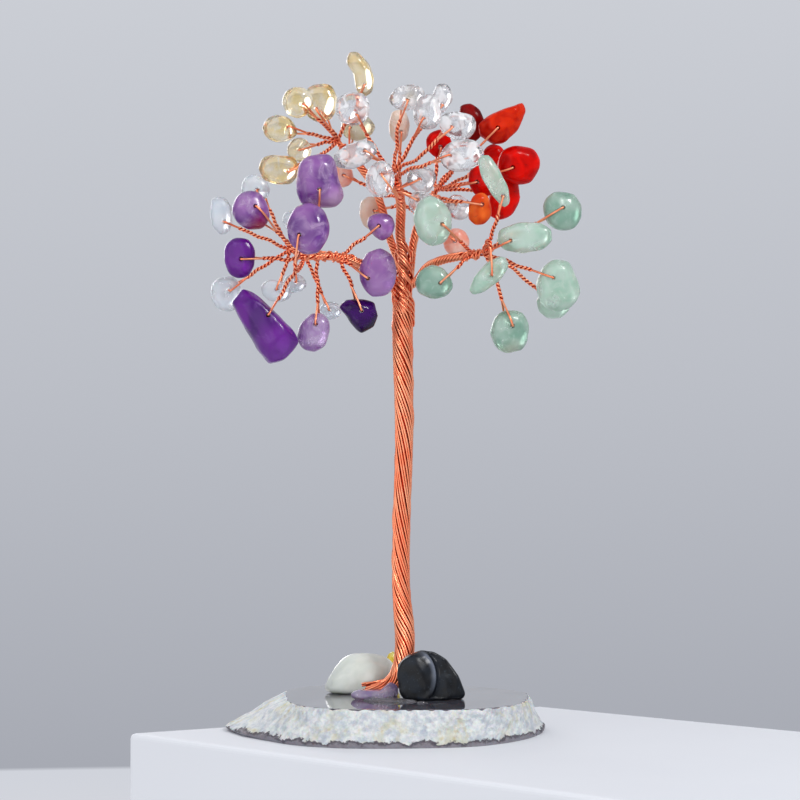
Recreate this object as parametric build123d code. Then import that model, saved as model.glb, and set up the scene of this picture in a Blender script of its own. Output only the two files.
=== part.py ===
from build123d import *
import os
from math import cos, hypot, pi, sin

# Millimetres, +Z up, the front towards -Y.
# The origin is the middle of the flat underside of the agate slice.

# Agate slice: a polished top inside a wide, rough and sloping rim.
SLICE_WIDTH = 69.2
SLICE_DEPTH = 57.0
SLICE_THICKNESS = 7.6

# Trunk: a left-handed rope of wire pairs, bent over at its foot.
TRUNK_X = 3.8
TRUNK_RISE = 87.0
TRUNK_RADIUS = 2.25
TRUNK_PAIRS = 17
TRUNK_TURNS = 2.9
TRUNK_STEPS = 38
FLUTE_DEPTH = 0.30
FOOT_REACH = 8.7

# Branches: twisted limbs that split into twigs, each ending in a loop through a chip.
CROWN_REACH = 43.0
TWIG_REACH = 21.5
LIMB_RADIUS = 0.72
LIMB_TIP_RADIUS = 0.50
LIMB_FLUTE = 0.12
LIMB_STRANDS = 6
LIMB_LAY = 16.0
LIMB_STEP = 2.4
LIMB_LEAST_STEPS = 4
TWIG_RADIUS = 0.44
TWIG_SIDES = 5
TWIG_BOW_SHARE = 0.42
TWIG_ROOTS = 7
STRAND_RADIUS = 0.22
STRAND_SIDES = 4
WIRE_GAP = 0.30

# Collar: strands of the amethyst limb laid over the front of the trunk.
COLLAR_STRANDS = 4
COLLAR_RADIUS = 0.25
COLLAR_SPACING = 1.24
COLLAR_DROP = 5.0
COLLAR_SEAT = 0.05
COLLAR_STEPS = 8
COLLAR_START = 224
COLLAR_SWEEP = 122
COLLAR_RISE_SHARE = 0.45
COLLAR_LEAVE_SHARE = 0.36
COLLAR_LEAVE_STEP_SHARE = 0.055

# Chips: tumbled, drilled through and threaded.
CHIP_SIZE = 10.75
HOLE_RADIUS = 0.50
HOLE_SIDES = 6
# How far a chip rocks on its wire each way, in degrees.
CHIP_SWING = 10

# Stones on the slice.
WHITE_STONE_WIDTH = 15.0
WHITE_STONE_DEPTH = 9.0
WHITE_STONE_HEIGHT = 8.6
BLACK_STONE_WIDTH = 14.8
BLACK_STONE_DEPTH = 9.0
BLACK_STONE_HEIGHT = 10.5
FOOT_STONE_WIDTH = 10.0
FOOT_STONE_DEPTH = 4.0
FOOT_STONE_HEIGHT = 3.6
FOOT_CHIP_WIDTH = 3.8
FOOT_CHIP_DEPTH = 3.0
FOOT_CHIP_HEIGHT = 8.3
STONE_GAP = 0.35
GLUE_WIDTH = 15.5
GLUE_DEPTH = 10.5
GLUE_THICKNESS = 0.7
GLUE_SIDES = 18

# The chips at the back of the crown share one node for each kind of stone.
GROUPED = ("aquamarine", "pink_quartz")

# The eye that the crown's places are seen from: its distance in front and its height.
VIEW_DISTANCE = 580.0
EYE_HEIGHT = 71.0

# A direction this near to front-and-back takes its sides from another axis.
NEAR_SQUARE = 0.2
# A quad is flat when its fourth corner is this near to the plane of the others.
FLATNESS = 1e-6

UP = Vector(0, 0, 1)
TRUNK_TOP = SLICE_THICKNESS + TRUNK_RISE


def skin(rings):
    """A closed solid through flat rings of points, with flat facets from ring to ring."""
    faces = [Face(Wire.make_polygon(rings[0])), Face(Wire.make_polygon(rings[-1]))]
    for near, far in zip(rings, rings[1:]):
        for k in range(len(near)):
            a, b, c, d = near[k - 1], near[k], far[k], far[k - 1]
            normal = (b - a).cross(c - a)
            if abs(normal.normalized().dot(d - a)) < FLATNESS:
                faces.append(Face(Wire.make_polygon([a, b, c, d])))
            else:
                faces.append(Face(Wire.make_polygon([a, b, c])))
                faces.append(Face(Wire.make_polygon([a, c, d])))
    return Solid(Shell(faces))


def across(direction):
    """Two unit vectors square to a direction and to each other."""
    side = direction.cross(Vector(0, 1, 0))
    if side.length < NEAR_SQUARE:
        side = direction.cross(Vector(1, 0, 0))
    side = side.normalized()
    return side, direction.cross(side).normalized()


def tube(route, radius, sides):
    """A wire with flat sides along straight runs, mitred where the runs meet."""
    runs = [(b - a).normalized() for a, b in zip(route, route[1:])]
    side, other = across(runs[0])
    angles = [2 * pi * k / sides for k in range(sides)]
    ring = [route[0] + side * (radius * cos(a)) + other * (radius * sin(a)) for a in angles]
    rings = [ring]
    for k, run in enumerate(runs):
        following = runs[min(k + 1, len(runs) - 1)]
        mitre = (run + following).normalized()
        end = route[k + 1]
        ring = [p + run * ((end - p).dot(mitre) / run.dot(mitre)) for p in ring]
        rings.append(ring)
    return skin(rings)


def rope(line, radii, lobes, flute, turns, steps):
    """A twisted bundle of lobes along a smooth line, its lobes left-handed."""
    side = across(line.tangent_at(0))[0]
    rings = []
    for step in range(steps + 1):
        share = step / steps
        middle = line.position_at(share)
        along = line.tangent_at(share)
        side = (side - along * side.dot(along)).normalized()
        other = along.cross(side)
        crest = radii(share)
        turn = -2 * pi * turns(share)
        ring = []
        for k in range(2 * lobes):
            reach = crest - flute * (k % 2)
            angle = turn + pi * k / lobes
            ring.append(middle + side * (reach * cos(angle)) + other * (reach * sin(angle)))
        rings.append(ring)
    return skin(rings)


def between(table, share):
    """The value at a share of the way, read straight between the rows of a table."""
    for (s0, v0), (s1, v1) in zip(table, table[1:]):
        if share <= s1:
            return v0 + (v1 - v0) * (share - s0) / (s1 - s0)
    return table[-1][1]


# Agate slice: each row is right and back, in shares of half the width and half the depth,
# anticlockwise from the right tip, first for the rim and then for the polished top.
SLICE_SHARES = (
    ((1.00, 0.06), (0.89, 0.10)),
    ((0.93, 0.36), (0.80, 0.34)),
    ((0.76, 0.64), (0.64, 0.56)),
    ((0.48, 0.84), (0.40, 0.72)),
    ((0.12, 0.94), (0.10, 0.78)),
    ((-0.26, 0.93), (-0.20, 0.78)),
    ((-0.60, 0.80), (-0.45, 0.66)),
    ((-0.86, 0.52), (-0.60, 0.44)),
    ((-1.00, 0.10), (-0.63, 0.16)),
    ((-0.93, -0.26), (-0.61, -0.20)),
    ((-0.74, -0.62), (-0.58, -0.50)),
    ((-0.50, -0.94), (-0.45, -0.82)),
    ((-0.18, -1.09), (-0.16, -0.98)),
    ((0.20, -1.07), (0.22, -1.00)),
    ((0.52, -0.98), (0.55, -0.95)),
    ((0.76, -0.72), (0.78, -0.70)),
    ((0.93, -0.36), (0.87, -0.34)),
)
# Height share of the thickness, and share of the way from the rim in to the top's edge.
SLICE_LEVEL_SHARES = ((0.00, 0.10), (0.13, 0.00), (0.45, 0.38), (0.80, 0.72), (1.00, 1.00))


def slice_ring(level_share, inward_share):
    ring = []
    for (rim_x, rim_y), (top_x, top_y) in SLICE_SHARES:
        x = rim_x + (top_x - rim_x) * inward_share
        y = rim_y + (top_y - rim_y) * inward_share
        place = (x * SLICE_WIDTH / 2, y * SLICE_DEPTH / 2, level_share * SLICE_THICKNESS)
        ring.append(Vector(*place))
    return ring


def agate_slice():
    return skin([slice_ring(*level) for level in SLICE_LEVEL_SHARES])


# Trunk: the foot's middle points are left, back and above the slice, in shares of FOOT_REACH.
FOOT_SHARES = (
    (-1.00, -0.56, 0.25, 0.56),
    (-0.67, -0.60, 0.29, 0.62),
    (-0.35, -0.58, 0.38, 0.72),
    (-0.11, -0.49, 0.60, 0.84),
    (0.03, -0.38, 1.00, 0.94),
)
# The stem's are a height in shares of TRUNK_RISE and a sway in shares of TRUNK_RADIUS.
# Each row of both tables ends with the share of TRUNK_RADIUS there.
STEM_SHARES = (
    (0.17, 0.14, -0.80, 0.97),
    (0.24, -0.10, -0.40, 0.88),
    (0.36, -0.16, -0.12, 0.84),
    (0.48, -0.06, 0.00, 0.85),
    (0.61, 0.12, 0.00, 0.87),
    (0.75, 0.08, 0.00, 0.93),
    (0.90, -0.02, 0.00, 0.99),
    (1.00, 0.00, 0.00, 1.00),
)
# Share of the trunk's length from the cut foot, and share of its turns: tighter at both ends.
TURN_SHARES = ((0.00, 0.00), (0.25, 0.32), (0.45, 0.51), (0.72, 0.67), (1.00, 1.00))


def trunk_rows():
    """The middle and the radius at each row, from the cut foot to the top."""
    rows = []
    for right, back, up, girth in FOOT_SHARES:
        place = Vector(right * FOOT_REACH, back * FOOT_REACH, up * FOOT_REACH)
        rows.append((place + Vector(TRUNK_X, 0, SLICE_THICKNESS), girth * TRUNK_RADIUS))
    for up, right, back, girth in STEM_SHARES:
        place = Vector(right * TRUNK_RADIUS, back * TRUNK_RADIUS, up * TRUNK_RISE)
        rows.append((place + Vector(TRUNK_X, 0, SLICE_THICKNESS), girth * TRUNK_RADIUS))
    return rows


def trunk_wires():
    rows = trunk_rows()
    route = [place for place, girth in rows]
    lengths = [0.0]
    for near, far in zip(route, route[1:]):
        lengths.append(lengths[-1] + (far - near).length)
    girths = [(length / lengths[-1], girth) for length, (place, girth) in zip(lengths, rows)]
    line = Spline(*route, tangents=((route[1] - route[0]).normalized(), UP))
    return rope(
        line,
        lambda share: between(girths, share),
        TRUNK_PAIRS,
        FLUTE_DEPTH,
        lambda share: TRUNK_TURNS * between(TURN_SHARES, share),
        TRUNK_STEPS,
    )


# Limbs: for each branch the direction of its place in the trunk's top, in degrees from the
# right towards the back, or None in the middle, then the points of the limb as seen from the
# front: right, back and up from the trunk's top, in shares of CROWN_REACH. The last share is
# the stretch at the tip, of the whole limb, that its twigs leave from.
LIMB_SHARES = {
    "amethyst": (
        210,
        (
            (-0.053, -0.058, 0.045),
            (-0.133, -0.070, 0.095),
            (-0.238, -0.140, 0.145),
            (-0.346, -0.220, 0.168),
            (-0.490, -0.280, 0.162),
        ),
        0.32,
    ),
    "citrine": (
        None,
        (
            (-0.018, 0.023, 0.130),
            (-0.063, 0.058, 0.255),
            (-0.113, 0.093, 0.440),
            (-0.203, 0.105, 0.605),
            (-0.323, 0.093, 0.745),
        ),
        0.10,
    ),
    "clear_quartz": (
        270,
        (
            (0.003, -0.047, 0.130),
            (-0.013, -0.047, 0.280),
            (-0.013, -0.047, 0.455),
            (-0.053, -0.047, 0.580),
        ),
        0.12,
    ),
    "red_jasper": (
        30,
        (
            (0.038, 0.035, 0.105),
            (0.048, 0.047, 0.205),
            (0.078, 0.070, 0.330),
            (0.168, 0.093, 0.500),
        ),
        0.16,
    ),
    "green_aventurine": (
        330,
        (
            (0.058, -0.047, 0.035),
            (0.113, -0.116, 0.105),
            (0.213, -0.186, 0.155),
            (0.408, -0.233, 0.185),
        ),
        0.12,
    ),
    "aquamarine": (
        150,
        (
            (-0.053, 0.070, 0.055),
            (-0.163, 0.140, 0.105),
            (-0.338, 0.186, 0.165),
            (-0.563, 0.186, 0.205),
        ),
        0.10,
    ),
    "pink_quartz": (
        90,
        (
            (-0.003, 0.093, 0.130),
            (-0.008, 0.210, 0.305),
            (-0.013, 0.326, 0.480),
        ),
        0.10,
    ),
}


def seen(right, back, up):
    """A place seen from the front, right of and above the trunk's top, at its true depth."""
    opening = 1 + back / VIEW_DISTANCE
    height = EYE_HEIGHT + (TRUNK_TOP + up - EYE_HEIGHT) * opening
    return Vector(TRUNK_X + right * opening, back, height)


def limb_route(stone):
    direction, points, tip_share = LIMB_SHARES[stone]
    root = Vector(TRUNK_X, 0, TRUNK_TOP)
    if direction is not None:
        angle = direction * pi / 180
        ring = TRUNK_RADIUS - LIMB_RADIUS
        root = root + Vector(ring * cos(angle), ring * sin(angle), 0)
    places = [seen(x * CROWN_REACH, y * CROWN_REACH, z * CROWN_REACH) for x, y, z in points]
    return [root] + places


def limb_line(stone):
    route = limb_route(stone)
    finish = (route[-1] - route[-2]).normalized()
    return Spline(*route, tangents=(UP, finish))


# Outlines of the chips, seen from the front, anticlockwise, in shares of half their size.
OUTLINE_SHARES = {
    "pebble": (
        (1.00, 0.10),
        (0.74, 0.70),
        (0.12, 1.00),
        (-0.58, 0.84),
        (-1.00, 0.20),
        (-0.86, -0.54),
        (-0.30, -1.00),
        (0.44, -0.94),
        (0.90, -0.48),
    ),
    "block": (
        (1.00, 0.40),
        (0.66, 0.94),
        (-0.30, 1.00),
        (-0.88, 0.66),
        (-1.00, -0.10),
        (-0.70, -0.76),
        (-0.06, -1.00),
        (0.64, -0.86),
        (0.98, -0.30),
    ),
    "egg": (
        (0.82, 0.34),
        (0.46, 0.86),
        (-0.14, 1.00),
        (-0.72, 0.68),
        (-0.98, 0.00),
        (-0.80, -0.68),
        (-0.16, -1.00),
        (0.60, -0.86),
        (1.00, -0.28),
    ),
    "wedge": (
        (1.00, -0.41),
        (0.78, -0.02),
        (0.21, 0.46),
        (-0.38, 0.94),
        (-0.70, 1.00),
        (-1.00, 0.64),
        (-0.56, -0.05),
        (-0.13, -0.72),
        (0.14, -1.00),
        (0.58, -0.89),
    ),
    "shoulder": (
        (1.00, -0.52),
        (0.74, 0.10),
        (0.66, 0.70),
        (0.36, 1.00),
        (-0.46, 0.92),
        (-0.92, 0.52),
        (-1.00, -0.20),
        (-0.82, -0.88),
        (-0.10, -0.96),
        (0.66, -1.00),
    ),
    "plectrum": (
        (1.00, 0.03),
        (0.80, 0.80),
        (0.22, 1.00),
        (-0.61, 0.98),
        (-1.00, 0.60),
        (-0.38, -0.38),
        (0.11, -1.00),
        (0.80, -0.62),
    ),
    "leaf": (
        (1.00, 0.62),
        (0.86, 1.00),
        (0.18, 0.72),
        (-0.52, 0.36),
        (-1.00, -0.10),
        (-0.94, -0.62),
        (-0.34, -1.00),
        (0.10, -0.94),
        (0.66, -0.30),
    ),
    "finger": (
        (1.00, -0.17),
        (0.62, 0.40),
        (-0.10, 0.96),
        (-0.80, 1.00),
        (-1.00, 0.52),
        (-0.46, -0.02),
        (-0.38, -0.62),
        (0.14, -1.00),
        (0.80, -0.78),
    ),
    "bar": (
        (1.00, 0.30),
        (0.66, 0.86),
        (0.00, 1.00),
        (-0.70, 0.86),
        (-1.00, 0.24),
        (-0.90, -0.52),
        (-0.38, -1.00),
        (0.42, -0.98),
        (0.92, -0.50),
    ),
    "crescent": (
        (1.00, 0.06),
        (0.76, 0.66),
        (0.20, 1.00),
        (-0.52, 0.96),
        (-0.74, 0.36),
        (-0.70, -0.24),
        (-0.62, -0.86),
        (-0.06, -1.00),
        (0.64, -0.72),
    ),
    "heart": (
        (1.00, 0.22),
        (0.78, 0.84),
        (0.22, 1.00),
        (-0.36, 0.96),
        (-0.92, 0.66),
        (-1.00, 0.00),
        (-0.46, -0.68),
        (0.10, -1.00),
        (0.72, -0.60),
    ),
}

# Levels of a chip from back to front: share of its thickness, share of its outline's size,
# and shift of the outline to the right and up, in shares of half its size.
CHIP_LEVEL_SHARES = (
    (-0.50, 0.58, 0.05, -0.06),
    (-0.16, 0.98, 0.00, 0.00),
    (0.18, 1.00, 0.00, 0.00),
    (0.50, 0.60, -0.06, 0.07),
)
CHIP_THICKNESS_SHARE = 0.60

# A loop's leg clears the chip's widest edge by these shares of the gap, upwards and outwards.
LEG_LOW_SHARE = 0.6
LEG_OUT_SHARE = 0.9
# Where the loop's two ends come together, each is this share of its radius from the middle.
LOOP_SPREAD_SHARE = 1.15
# Points of a twig, as shares of the way from the loop to the limb.
TWIG_POINT_SHARES = (0, 0.30, 0.62, 1)

# Chips, each with its place right, back and up from the limb's tip as seen from the front,
# in shares of TWIG_REACH; its width and height in shares of CHIP_SIZE; its outline; its lean,
# turn and tip in degrees; and its hole, right and up in shares of half its size.
CHIP_SHARES = {
    "amethyst": (
        ((0.15, -0.07, 0.765), (0.92, 1.05), "shoulder", (0, 10, 6), (-0.10, -0.30)),
        ((0.05, -0.37, 0.268), (0.82, 0.99), "pebble", (0, -8, -6), (-0.35, -0.30)),
        ((-0.54, -0.09, 0.467), (0.73, 0.76), "egg", (0, 18, -10), (0.10, 0.10)),
        ((-0.65, 0.02, 0.00), (0.61, 0.79), "block", (0, -16, 8), (0.30, 0.00)),
        ((-0.40, -0.02, -0.695), (1.29, 1.43), "wedge", (0, 10, -8), (0.02, 0.24)),
        ((0.097, 0.17, -0.73), (0.63, 0.80), "egg", (-28, -10, 8), (-0.10, 0.40)),
        ((0.53, 0.18, -0.57), (0.75, 0.66), "plectrum", (0, 12, 10), (0.05, 0.40)),
        ((0.73, 0.08, -0.144), (0.73, 0.95), "pebble", (0, -10, 0), (-0.45, -0.25)),
        ((0.75, 0.28, 0.323), (0.54, 0.54), "heart", (0, 14, -12), (-0.30, -0.10)),
    ),
    "citrine": (
        ((0.22, -0.09, 0.66), (0.55, 0.90), "finger", (0, 12, 0), (0.24, -0.50)),
        ((-0.175, -0.02, 0.38), (0.68, 0.76), "block", (0, -14, 8), (-0.10, -0.25)),
        ((-0.40, -0.30, 0.365), (0.61, 0.61), "pebble", (20, 16, 10), (0.20, -0.25)),
        ((-0.583, -0.16, 0.106), (0.70, 0.55), "egg", (0, 12, -14), (0.40, 0.00)),
        ((-0.39, 0.16, -0.07), (0.50, 0.49), "pebble", (40, -20, 10), (0.25, 0.05)),
        ((-0.59, -0.30, -0.316), (0.79, 0.57), "block", (-8, 14, 10), (0.42, 0.00)),
        ((0.19, 0.24, 0.17), (0.70, 0.58), "egg", (10, -12, -10), (-0.35, -0.10)),
    ),
    "clear_quartz": (
        ((-0.40, -0.05, 0.65), (0.68, 0.66), "block", (0, 12, 10), (0.15, -0.30)),
        ((-0.37, -0.33, 0.163), (0.90, 0.48), "bar", (22, 10, 0), (0.40, 0.00)),
        ((-0.115, -0.38, -0.081), (0.60, 0.73), "egg", (-10, -10, 6), (0.10, 0.30)),
        ((0.15, 0.16, 0.785), (0.74, 0.50), "pebble", (8, 14, 12), (-0.10, -0.15)),
        ((0.355, -0.15, 0.61), (0.57, 0.71), "egg", (-8, -12, 8), (-0.10, -0.35)),
        ((0.49, 0.26, 0.77), (0.46, 0.62), "crescent", (-14, 12, 8), (0.10, -0.30)),
        ((0.65, -0.30, 0.455), (0.72, 0.55), "block", (-10, 14, 10), (-0.40, -0.05)),
        ((0.70, -0.42, 0.153), (0.87, 0.62), "pebble", (6, -14, -8), (-0.45, 0.00)),
        ((0.29, -0.07, -0.07), (0.58, 0.54), "heart", (0, 14, 6), (-0.25, 0.15)),
        ((0.30, -0.30, -0.313), (0.57, 0.49), "pebble", (-12, -12, 8), (-0.25, 0.20)),
        ((0.66, 0.14, -0.32), (0.52, 0.52), "egg", (24, 14, -10), (-0.25, 0.15)),
    ),
    "red_jasper": (
        ((0.337, 0.05, 0.674), (0.58, 0.79), "crescent", (8, -14, 8), (0.10, -0.40)),
        ((0.65, -0.23, 0.648), (0.94, 0.84), "leaf", (0, 10, -8), (-0.28, -0.36)),
        ((0.815, -0.19, 0.234), (0.84, 0.76), "block", (-6, 12, 8), (-0.40, -0.10)),
        ((0.585, 0.20, 0.335), (0.54, 0.57), "egg", (0, -12, 10), (-0.15, -0.20)),
        ((0.025, 0.05, 0.475), (0.52, 0.54), "pebble", (0, 12, 10), (0.00, -0.25)),
        ((0.455, -0.34, 0.068), (0.54, 0.64), "block", (10, -12, 6), (-0.30, 0.00)),
        ((0.655, 0.02, -0.06), (0.72, 0.95), "crescent", (-6, 10, 0), (0.05, 0.25)),
        ((0.43, -0.54, -0.23), (0.48, 0.64), "egg", (-10, 12, 6), (-0.05, 0.30)),
    ),
    "green_aventurine": (
        ((0.09, -0.26, 0.714), (0.38, 1.08), "bar", (25, 8, 0), (0.05, -0.66)),
        ((-0.528, -0.32, 0.31), (0.73, 0.96), "pebble", (10, 10, 6), (0.36, -0.20)),
        ((0.396, -0.22, 0.145), (1.08, 0.60), "block", (4, -10, 8), (-0.48, -0.10)),
        ((0.78, 0.10, 0.422), (0.76, 0.76), "block", (0, 14, -10), (-0.15, 0.05)),
        ((-0.506, -0.08, -0.29), (0.74, 0.66), "egg", (0, -12, 8), (0.45, 0.00)),
        ((0.036, -0.36, -0.242), (0.40, 0.90), "bar", (-47, 10, 6), (0.00, 0.10)),
        ((0.73, -0.05, -0.324), (0.87, 1.02), "egg", (0, 10, 8), (-0.35, 0.35)),
        ((0.70, 0.29, -0.48), (0.66, 0.62), "pebble", (0, -12, 8), (-0.30, 0.25)),
        ((0.25, 0.02, -0.78), (0.76, 0.84), "block", (0, 12, 8), (0.00, 0.32)),
    ),
    "aquamarine": (
        ((-0.68, -0.19, 0.33), (0.42, 0.75), "bar", (8, 12, 8), (0.10, -0.35)),
        ((-0.34, -0.09, 0.61), (0.58, 0.54), "egg", (0, -12, 10), (0.25, -0.10)),
        ((-0.64, 0.00, -0.45), (0.61, 0.70), "block", (10, 12, 8), (0.20, 0.20)),
        ((-0.14, 0.04, -0.41), (0.64, 0.44), "pebble", (-10, -10, 8), (0.10, 0.15)),
        ((0.04, 0.16, -0.33), (0.48, 0.39), "egg", (0, 14, 8), (0.00, 0.15)),
        ((0.40, 0.05, -0.61), (0.46, 0.36), "pebble", (0, 12, 10), (-0.20, 0.15)),
        ((0.03, 0.20, 0.30), (0.46, 0.40), "block", (0, -14, 8), (0.00, -0.15)),
    ),
    "pink_quartz": (
        ((0.56, -0.28, -0.50), (0.53, 0.56), "pebble", (0, 12, 8), (-0.25, 0.15)),
        ((-0.565, -0.28, 0.175), (0.41, 0.51), "egg", (0, -12, 8), (0.15, 0.00)),
        ((-0.29, -0.30, -0.21), (0.47, 0.67), "block", (0, 12, 8), (0.15, 0.15)),
        ((-0.01, -0.17, 0.67), (0.42, 0.66), "bar", (0, 14, 8), (0.00, -0.35)),
    ),
}


class Chip:
    """A drilled chip at its place, with the loop and the twig that hold it."""

    def __init__(self, row, tip, roots):
        (right, back, up), (width, height), outline, (lean, turn, nod), hole = row
        opening = 1 + (tip.Y + back * TWIG_REACH) / VIEW_DISTANCE
        place = Vector(right * TWIG_REACH * opening, back * TWIG_REACH, up * TWIG_REACH * opening)
        face = Plane(origin=tip + place, x_dir=(1, 0, 0), z_dir=(0, -1, 0))
        self.plane = face.rotated((nod, -lean, turn))
        self.half_width = width * CHIP_SIZE / 2
        self.half_height = height * CHIP_SIZE / 2
        self.thickness = 2 * min(self.half_width, self.half_height) * CHIP_THICKNESS_SHARE
        self.outline = OUTLINE_SHARES[outline]
        self.hole = (hole[0] * self.half_width, hole[1] * self.half_height)
        self.wire_routes(roots)

    def world(self, x, y, z):
        return self.plane.from_local_coords(Vector(x, y, z))

    def ring(self, level):
        """The outline at one level as flat x and y, and its height."""
        height_share, size_share, shift_x_share, shift_y_share = level
        points = []
        for x, y in self.outline:
            flat_x = (x * size_share + shift_x_share) * self.half_width
            flat_y = (y * size_share + shift_y_share) * self.half_height
            points.append((flat_x, flat_y))
        return points, height_share * self.thickness

    def rings(self):
        rings = []
        for level in CHIP_LEVEL_SHARES:
            points, height = self.ring(level)
            rings.append([self.world(x, y, height) for x, y in points])
        return rings

    def reach(self, level, way):
        """How far the outline at a level comes from the hole on one side, over its swing."""
        points, height = self.ring(level)
        furthest = 0.0
        for angle in (-CHIP_SWING, 0, CHIP_SWING):
            turned = Vector(way[0], way[1], 0).rotate(Axis.Z, angle)
            for k in range(len(points)):
                (ax, ay), (bx, by) = points[k - 1], points[k]
                slant = turned.X * (by - ay) - turned.Y * (bx - ax)
                if abs(slant) < FLATNESS:
                    continue
                from_x, from_y = ax - self.hole[0], ay - self.hole[1]
                along = (from_x * turned.Y - from_y * turned.X) / slant
                if 0 <= along <= 1:
                    far = (from_x * (by - ay) - from_y * (bx - ax)) / slant
                    furthest = max(furthest, far)
        return furthest

    def wire_routes(self, roots):
        """The routes of the loop and of the twig, from the hole to the nearest root."""
        eye = self.world(*self.hole, 0)
        root = min(roots, key=lambda place: (place - eye).length)
        for round_again in range(2):
            pull = self.plane.to_local_coords(root) - Vector(*self.hole, 0)
            span = hypot(pull.X, pull.Y)
            way = (pull.X / span, pull.Y / span)
            gap = STRAND_RADIUS + WIRE_GAP
            crotch = 0.0
            legs = []
            for cap, middle, side in ((3, 2, 1), (0, 1, -1)):
                cap_reach = self.reach(CHIP_LEVEL_SHARES[cap], way)
                middle_reach = self.reach(CHIP_LEVEL_SHARES[middle], way)
                top = side * CHIP_LEVEL_SHARES[cap][0] * self.thickness + gap
                shoulder = max(gap, cap_reach + gap / 2)
                low = side * CHIP_LEVEL_SHARES[middle][0] * self.thickness + gap * LEG_LOW_SHARE
                out = middle_reach + gap * LEG_OUT_SHARE
                fall = (top - low) / (out - shoulder)
                crotch = max(crotch, out + (low - STRAND_RADIUS) / fall)
                legs.append((shoulder, top, side))
            self.crotch = self.flat_place(way, crotch, 0)
            root = min(roots, key=lambda place: (place - self.crotch).length)
        inner = crotch + 2 * STRAND_RADIUS
        spread = STRAND_RADIUS * LOOP_SPREAD_SHARE
        loop = []
        for shoulder, top, side in legs:
            leg = [
                self.flat_place(way, inner, side * spread),
                self.flat_place(way, crotch, side * spread),
                self.flat_place(way, shoulder, side * top),
                self.flat_place(way, 0, side * top),
            ]
            loop = loop + leg if side > 0 else loop + leg[::-1]
        self.loop_route = loop
        outward = (self.crotch - eye).normalized()
        span = (root - self.crotch).length
        pole = self.crotch + outward * (span * TWIG_BOW_SHARE)
        self.twig_route = []
        for share in TWIG_POINT_SHARES:
            back = 1 - share
            place = self.crotch * (back * back) + pole * (2 * back * share) + root * (share * share)
            self.twig_route.append(place)

    def flat_place(self, way, distance, height):
        return self.world(self.hole[0] + way[0] * distance, self.hole[1] + way[1] * distance, height)

    def stone(self):
        """The chip itself, drilled through along its own axis."""
        body = skin(self.rings())
        length = 2 * self.thickness
        drill = tube(
            [self.world(*self.hole, -length / 2), self.world(*self.hole, length / 2)],
            HOLE_RADIUS,
            HOLE_SIDES,
        )
        return body - drill

    def wires(self):
        return [
            tube(self.twig_route, TWIG_RADIUS, TWIG_SIDES),
            tube(self.loop_route, STRAND_RADIUS, STRAND_SIDES),
        ]


def branch_chips(stone):
    """The chips of one branch, threaded from the stretch at its limb's tip."""
    line = limb_line(stone)
    spacing = LIMB_SHARES[stone][2] / (TWIG_ROOTS - 1)
    roots = [line.position_at(1 - spacing * k) for k in range(TWIG_ROOTS)]
    return [Chip(row, line.position_at(1), roots) for row in CHIP_SHARES[stone]]


def limb_wires(stone):
    line = limb_line(stone)
    steps = max(LIMB_LEAST_STEPS, round(line.length / LIMB_STEP))
    taper = LIMB_TIP_RADIUS - LIMB_RADIUS
    return rope(
        line,
        lambda share: LIMB_RADIUS + taper * share,
        LIMB_STRANDS,
        LIMB_FLUTE,
        lambda share: share * line.length / LIMB_LAY,
        steps,
    )


def collar_routes():
    """Strands that leave the amethyst limb and run down over the front of the trunk."""
    routes = []
    limb = limb_line("amethyst")
    ring = TRUNK_RADIUS + COLLAR_RADIUS + COLLAR_SEAT
    for strand in range(COLLAR_STRANDS):
        top = TRUNK_TOP + COLLAR_DROP * COLLAR_RISE_SHARE - strand * COLLAR_SPACING
        route = [limb.position_at(COLLAR_LEAVE_SHARE - strand * COLLAR_LEAVE_STEP_SHARE)]
        for step in range(COLLAR_STEPS + 1):
            share = step / COLLAR_STEPS
            angle = (COLLAR_START + COLLAR_SWEEP * share) * pi / 180
            height = top - COLLAR_DROP * share
            route.append(Vector(TRUNK_X + ring * cos(angle), ring * sin(angle), height))
        routes.append(route)
    return routes


def collar_gap():
    """The least gap between the collar's strands, measured on the points of their turns."""
    turns = [route[1:] for route in collar_routes()]
    least = TRUNK_RISE
    for upper, lower in zip(turns, turns[1:]):
        for place in upper:
            least = min(least, min((place - other).length for other in lower))
    return least - 2 * COLLAR_RADIUS


def branch(stone, chips):
    """The wires of one branch: its limb, its twigs and their loops, as one piece."""
    pieces = [wire for chip in chips for wire in chip.wires()]
    if stone == "amethyst":
        pieces += [tube(route, COLLAR_RADIUS, TWIG_SIDES) for route in collar_routes()]
    return limb_wires(stone).fuse(*pieces)


# Stones on the slice: outlines from the front, right and up, in shares of half the width and
# of the height, with the flat underside at nought.
WHITE_OUTLINE_SHARES = (
    (1.00, 0.60),
    (0.90, 0.80),
    (0.68, 0.93),
    (0.26, 1.00),
    (-0.20, 0.99),
    (-0.44, 0.89),
    (-0.68, 0.66),
    (-0.90, 0.36),
    (-1.00, 0.14),
    (-0.92, 0.00),
    (0.50, 0.00),
    (0.88, 0.32),
)
BLACK_OUTLINE_SHARES = (
    (1.00, 0.10),
    (0.80, 0.46),
    (0.44, 0.80),
    (0.06, 0.97),
    (-0.28, 1.00),
    (-0.70, 0.89),
    (-0.94, 0.72),
    (-1.00, 0.48),
    (-0.88, 0.18),
    (-0.62, 0.00),
    (0.92, 0.00),
)
FOOT_STONE_OUTLINE_SHARES = (
    (1.00, 0.30),
    (0.95, 0.82),
    (0.72, 1.00),
    (0.36, 0.84),
    (-0.10, 0.62),
    (-0.58, 0.56),
    (-0.88, 0.46),
    (-1.00, 0.22),
    (-0.92, 0.00),
    (0.90, 0.00),
)
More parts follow.
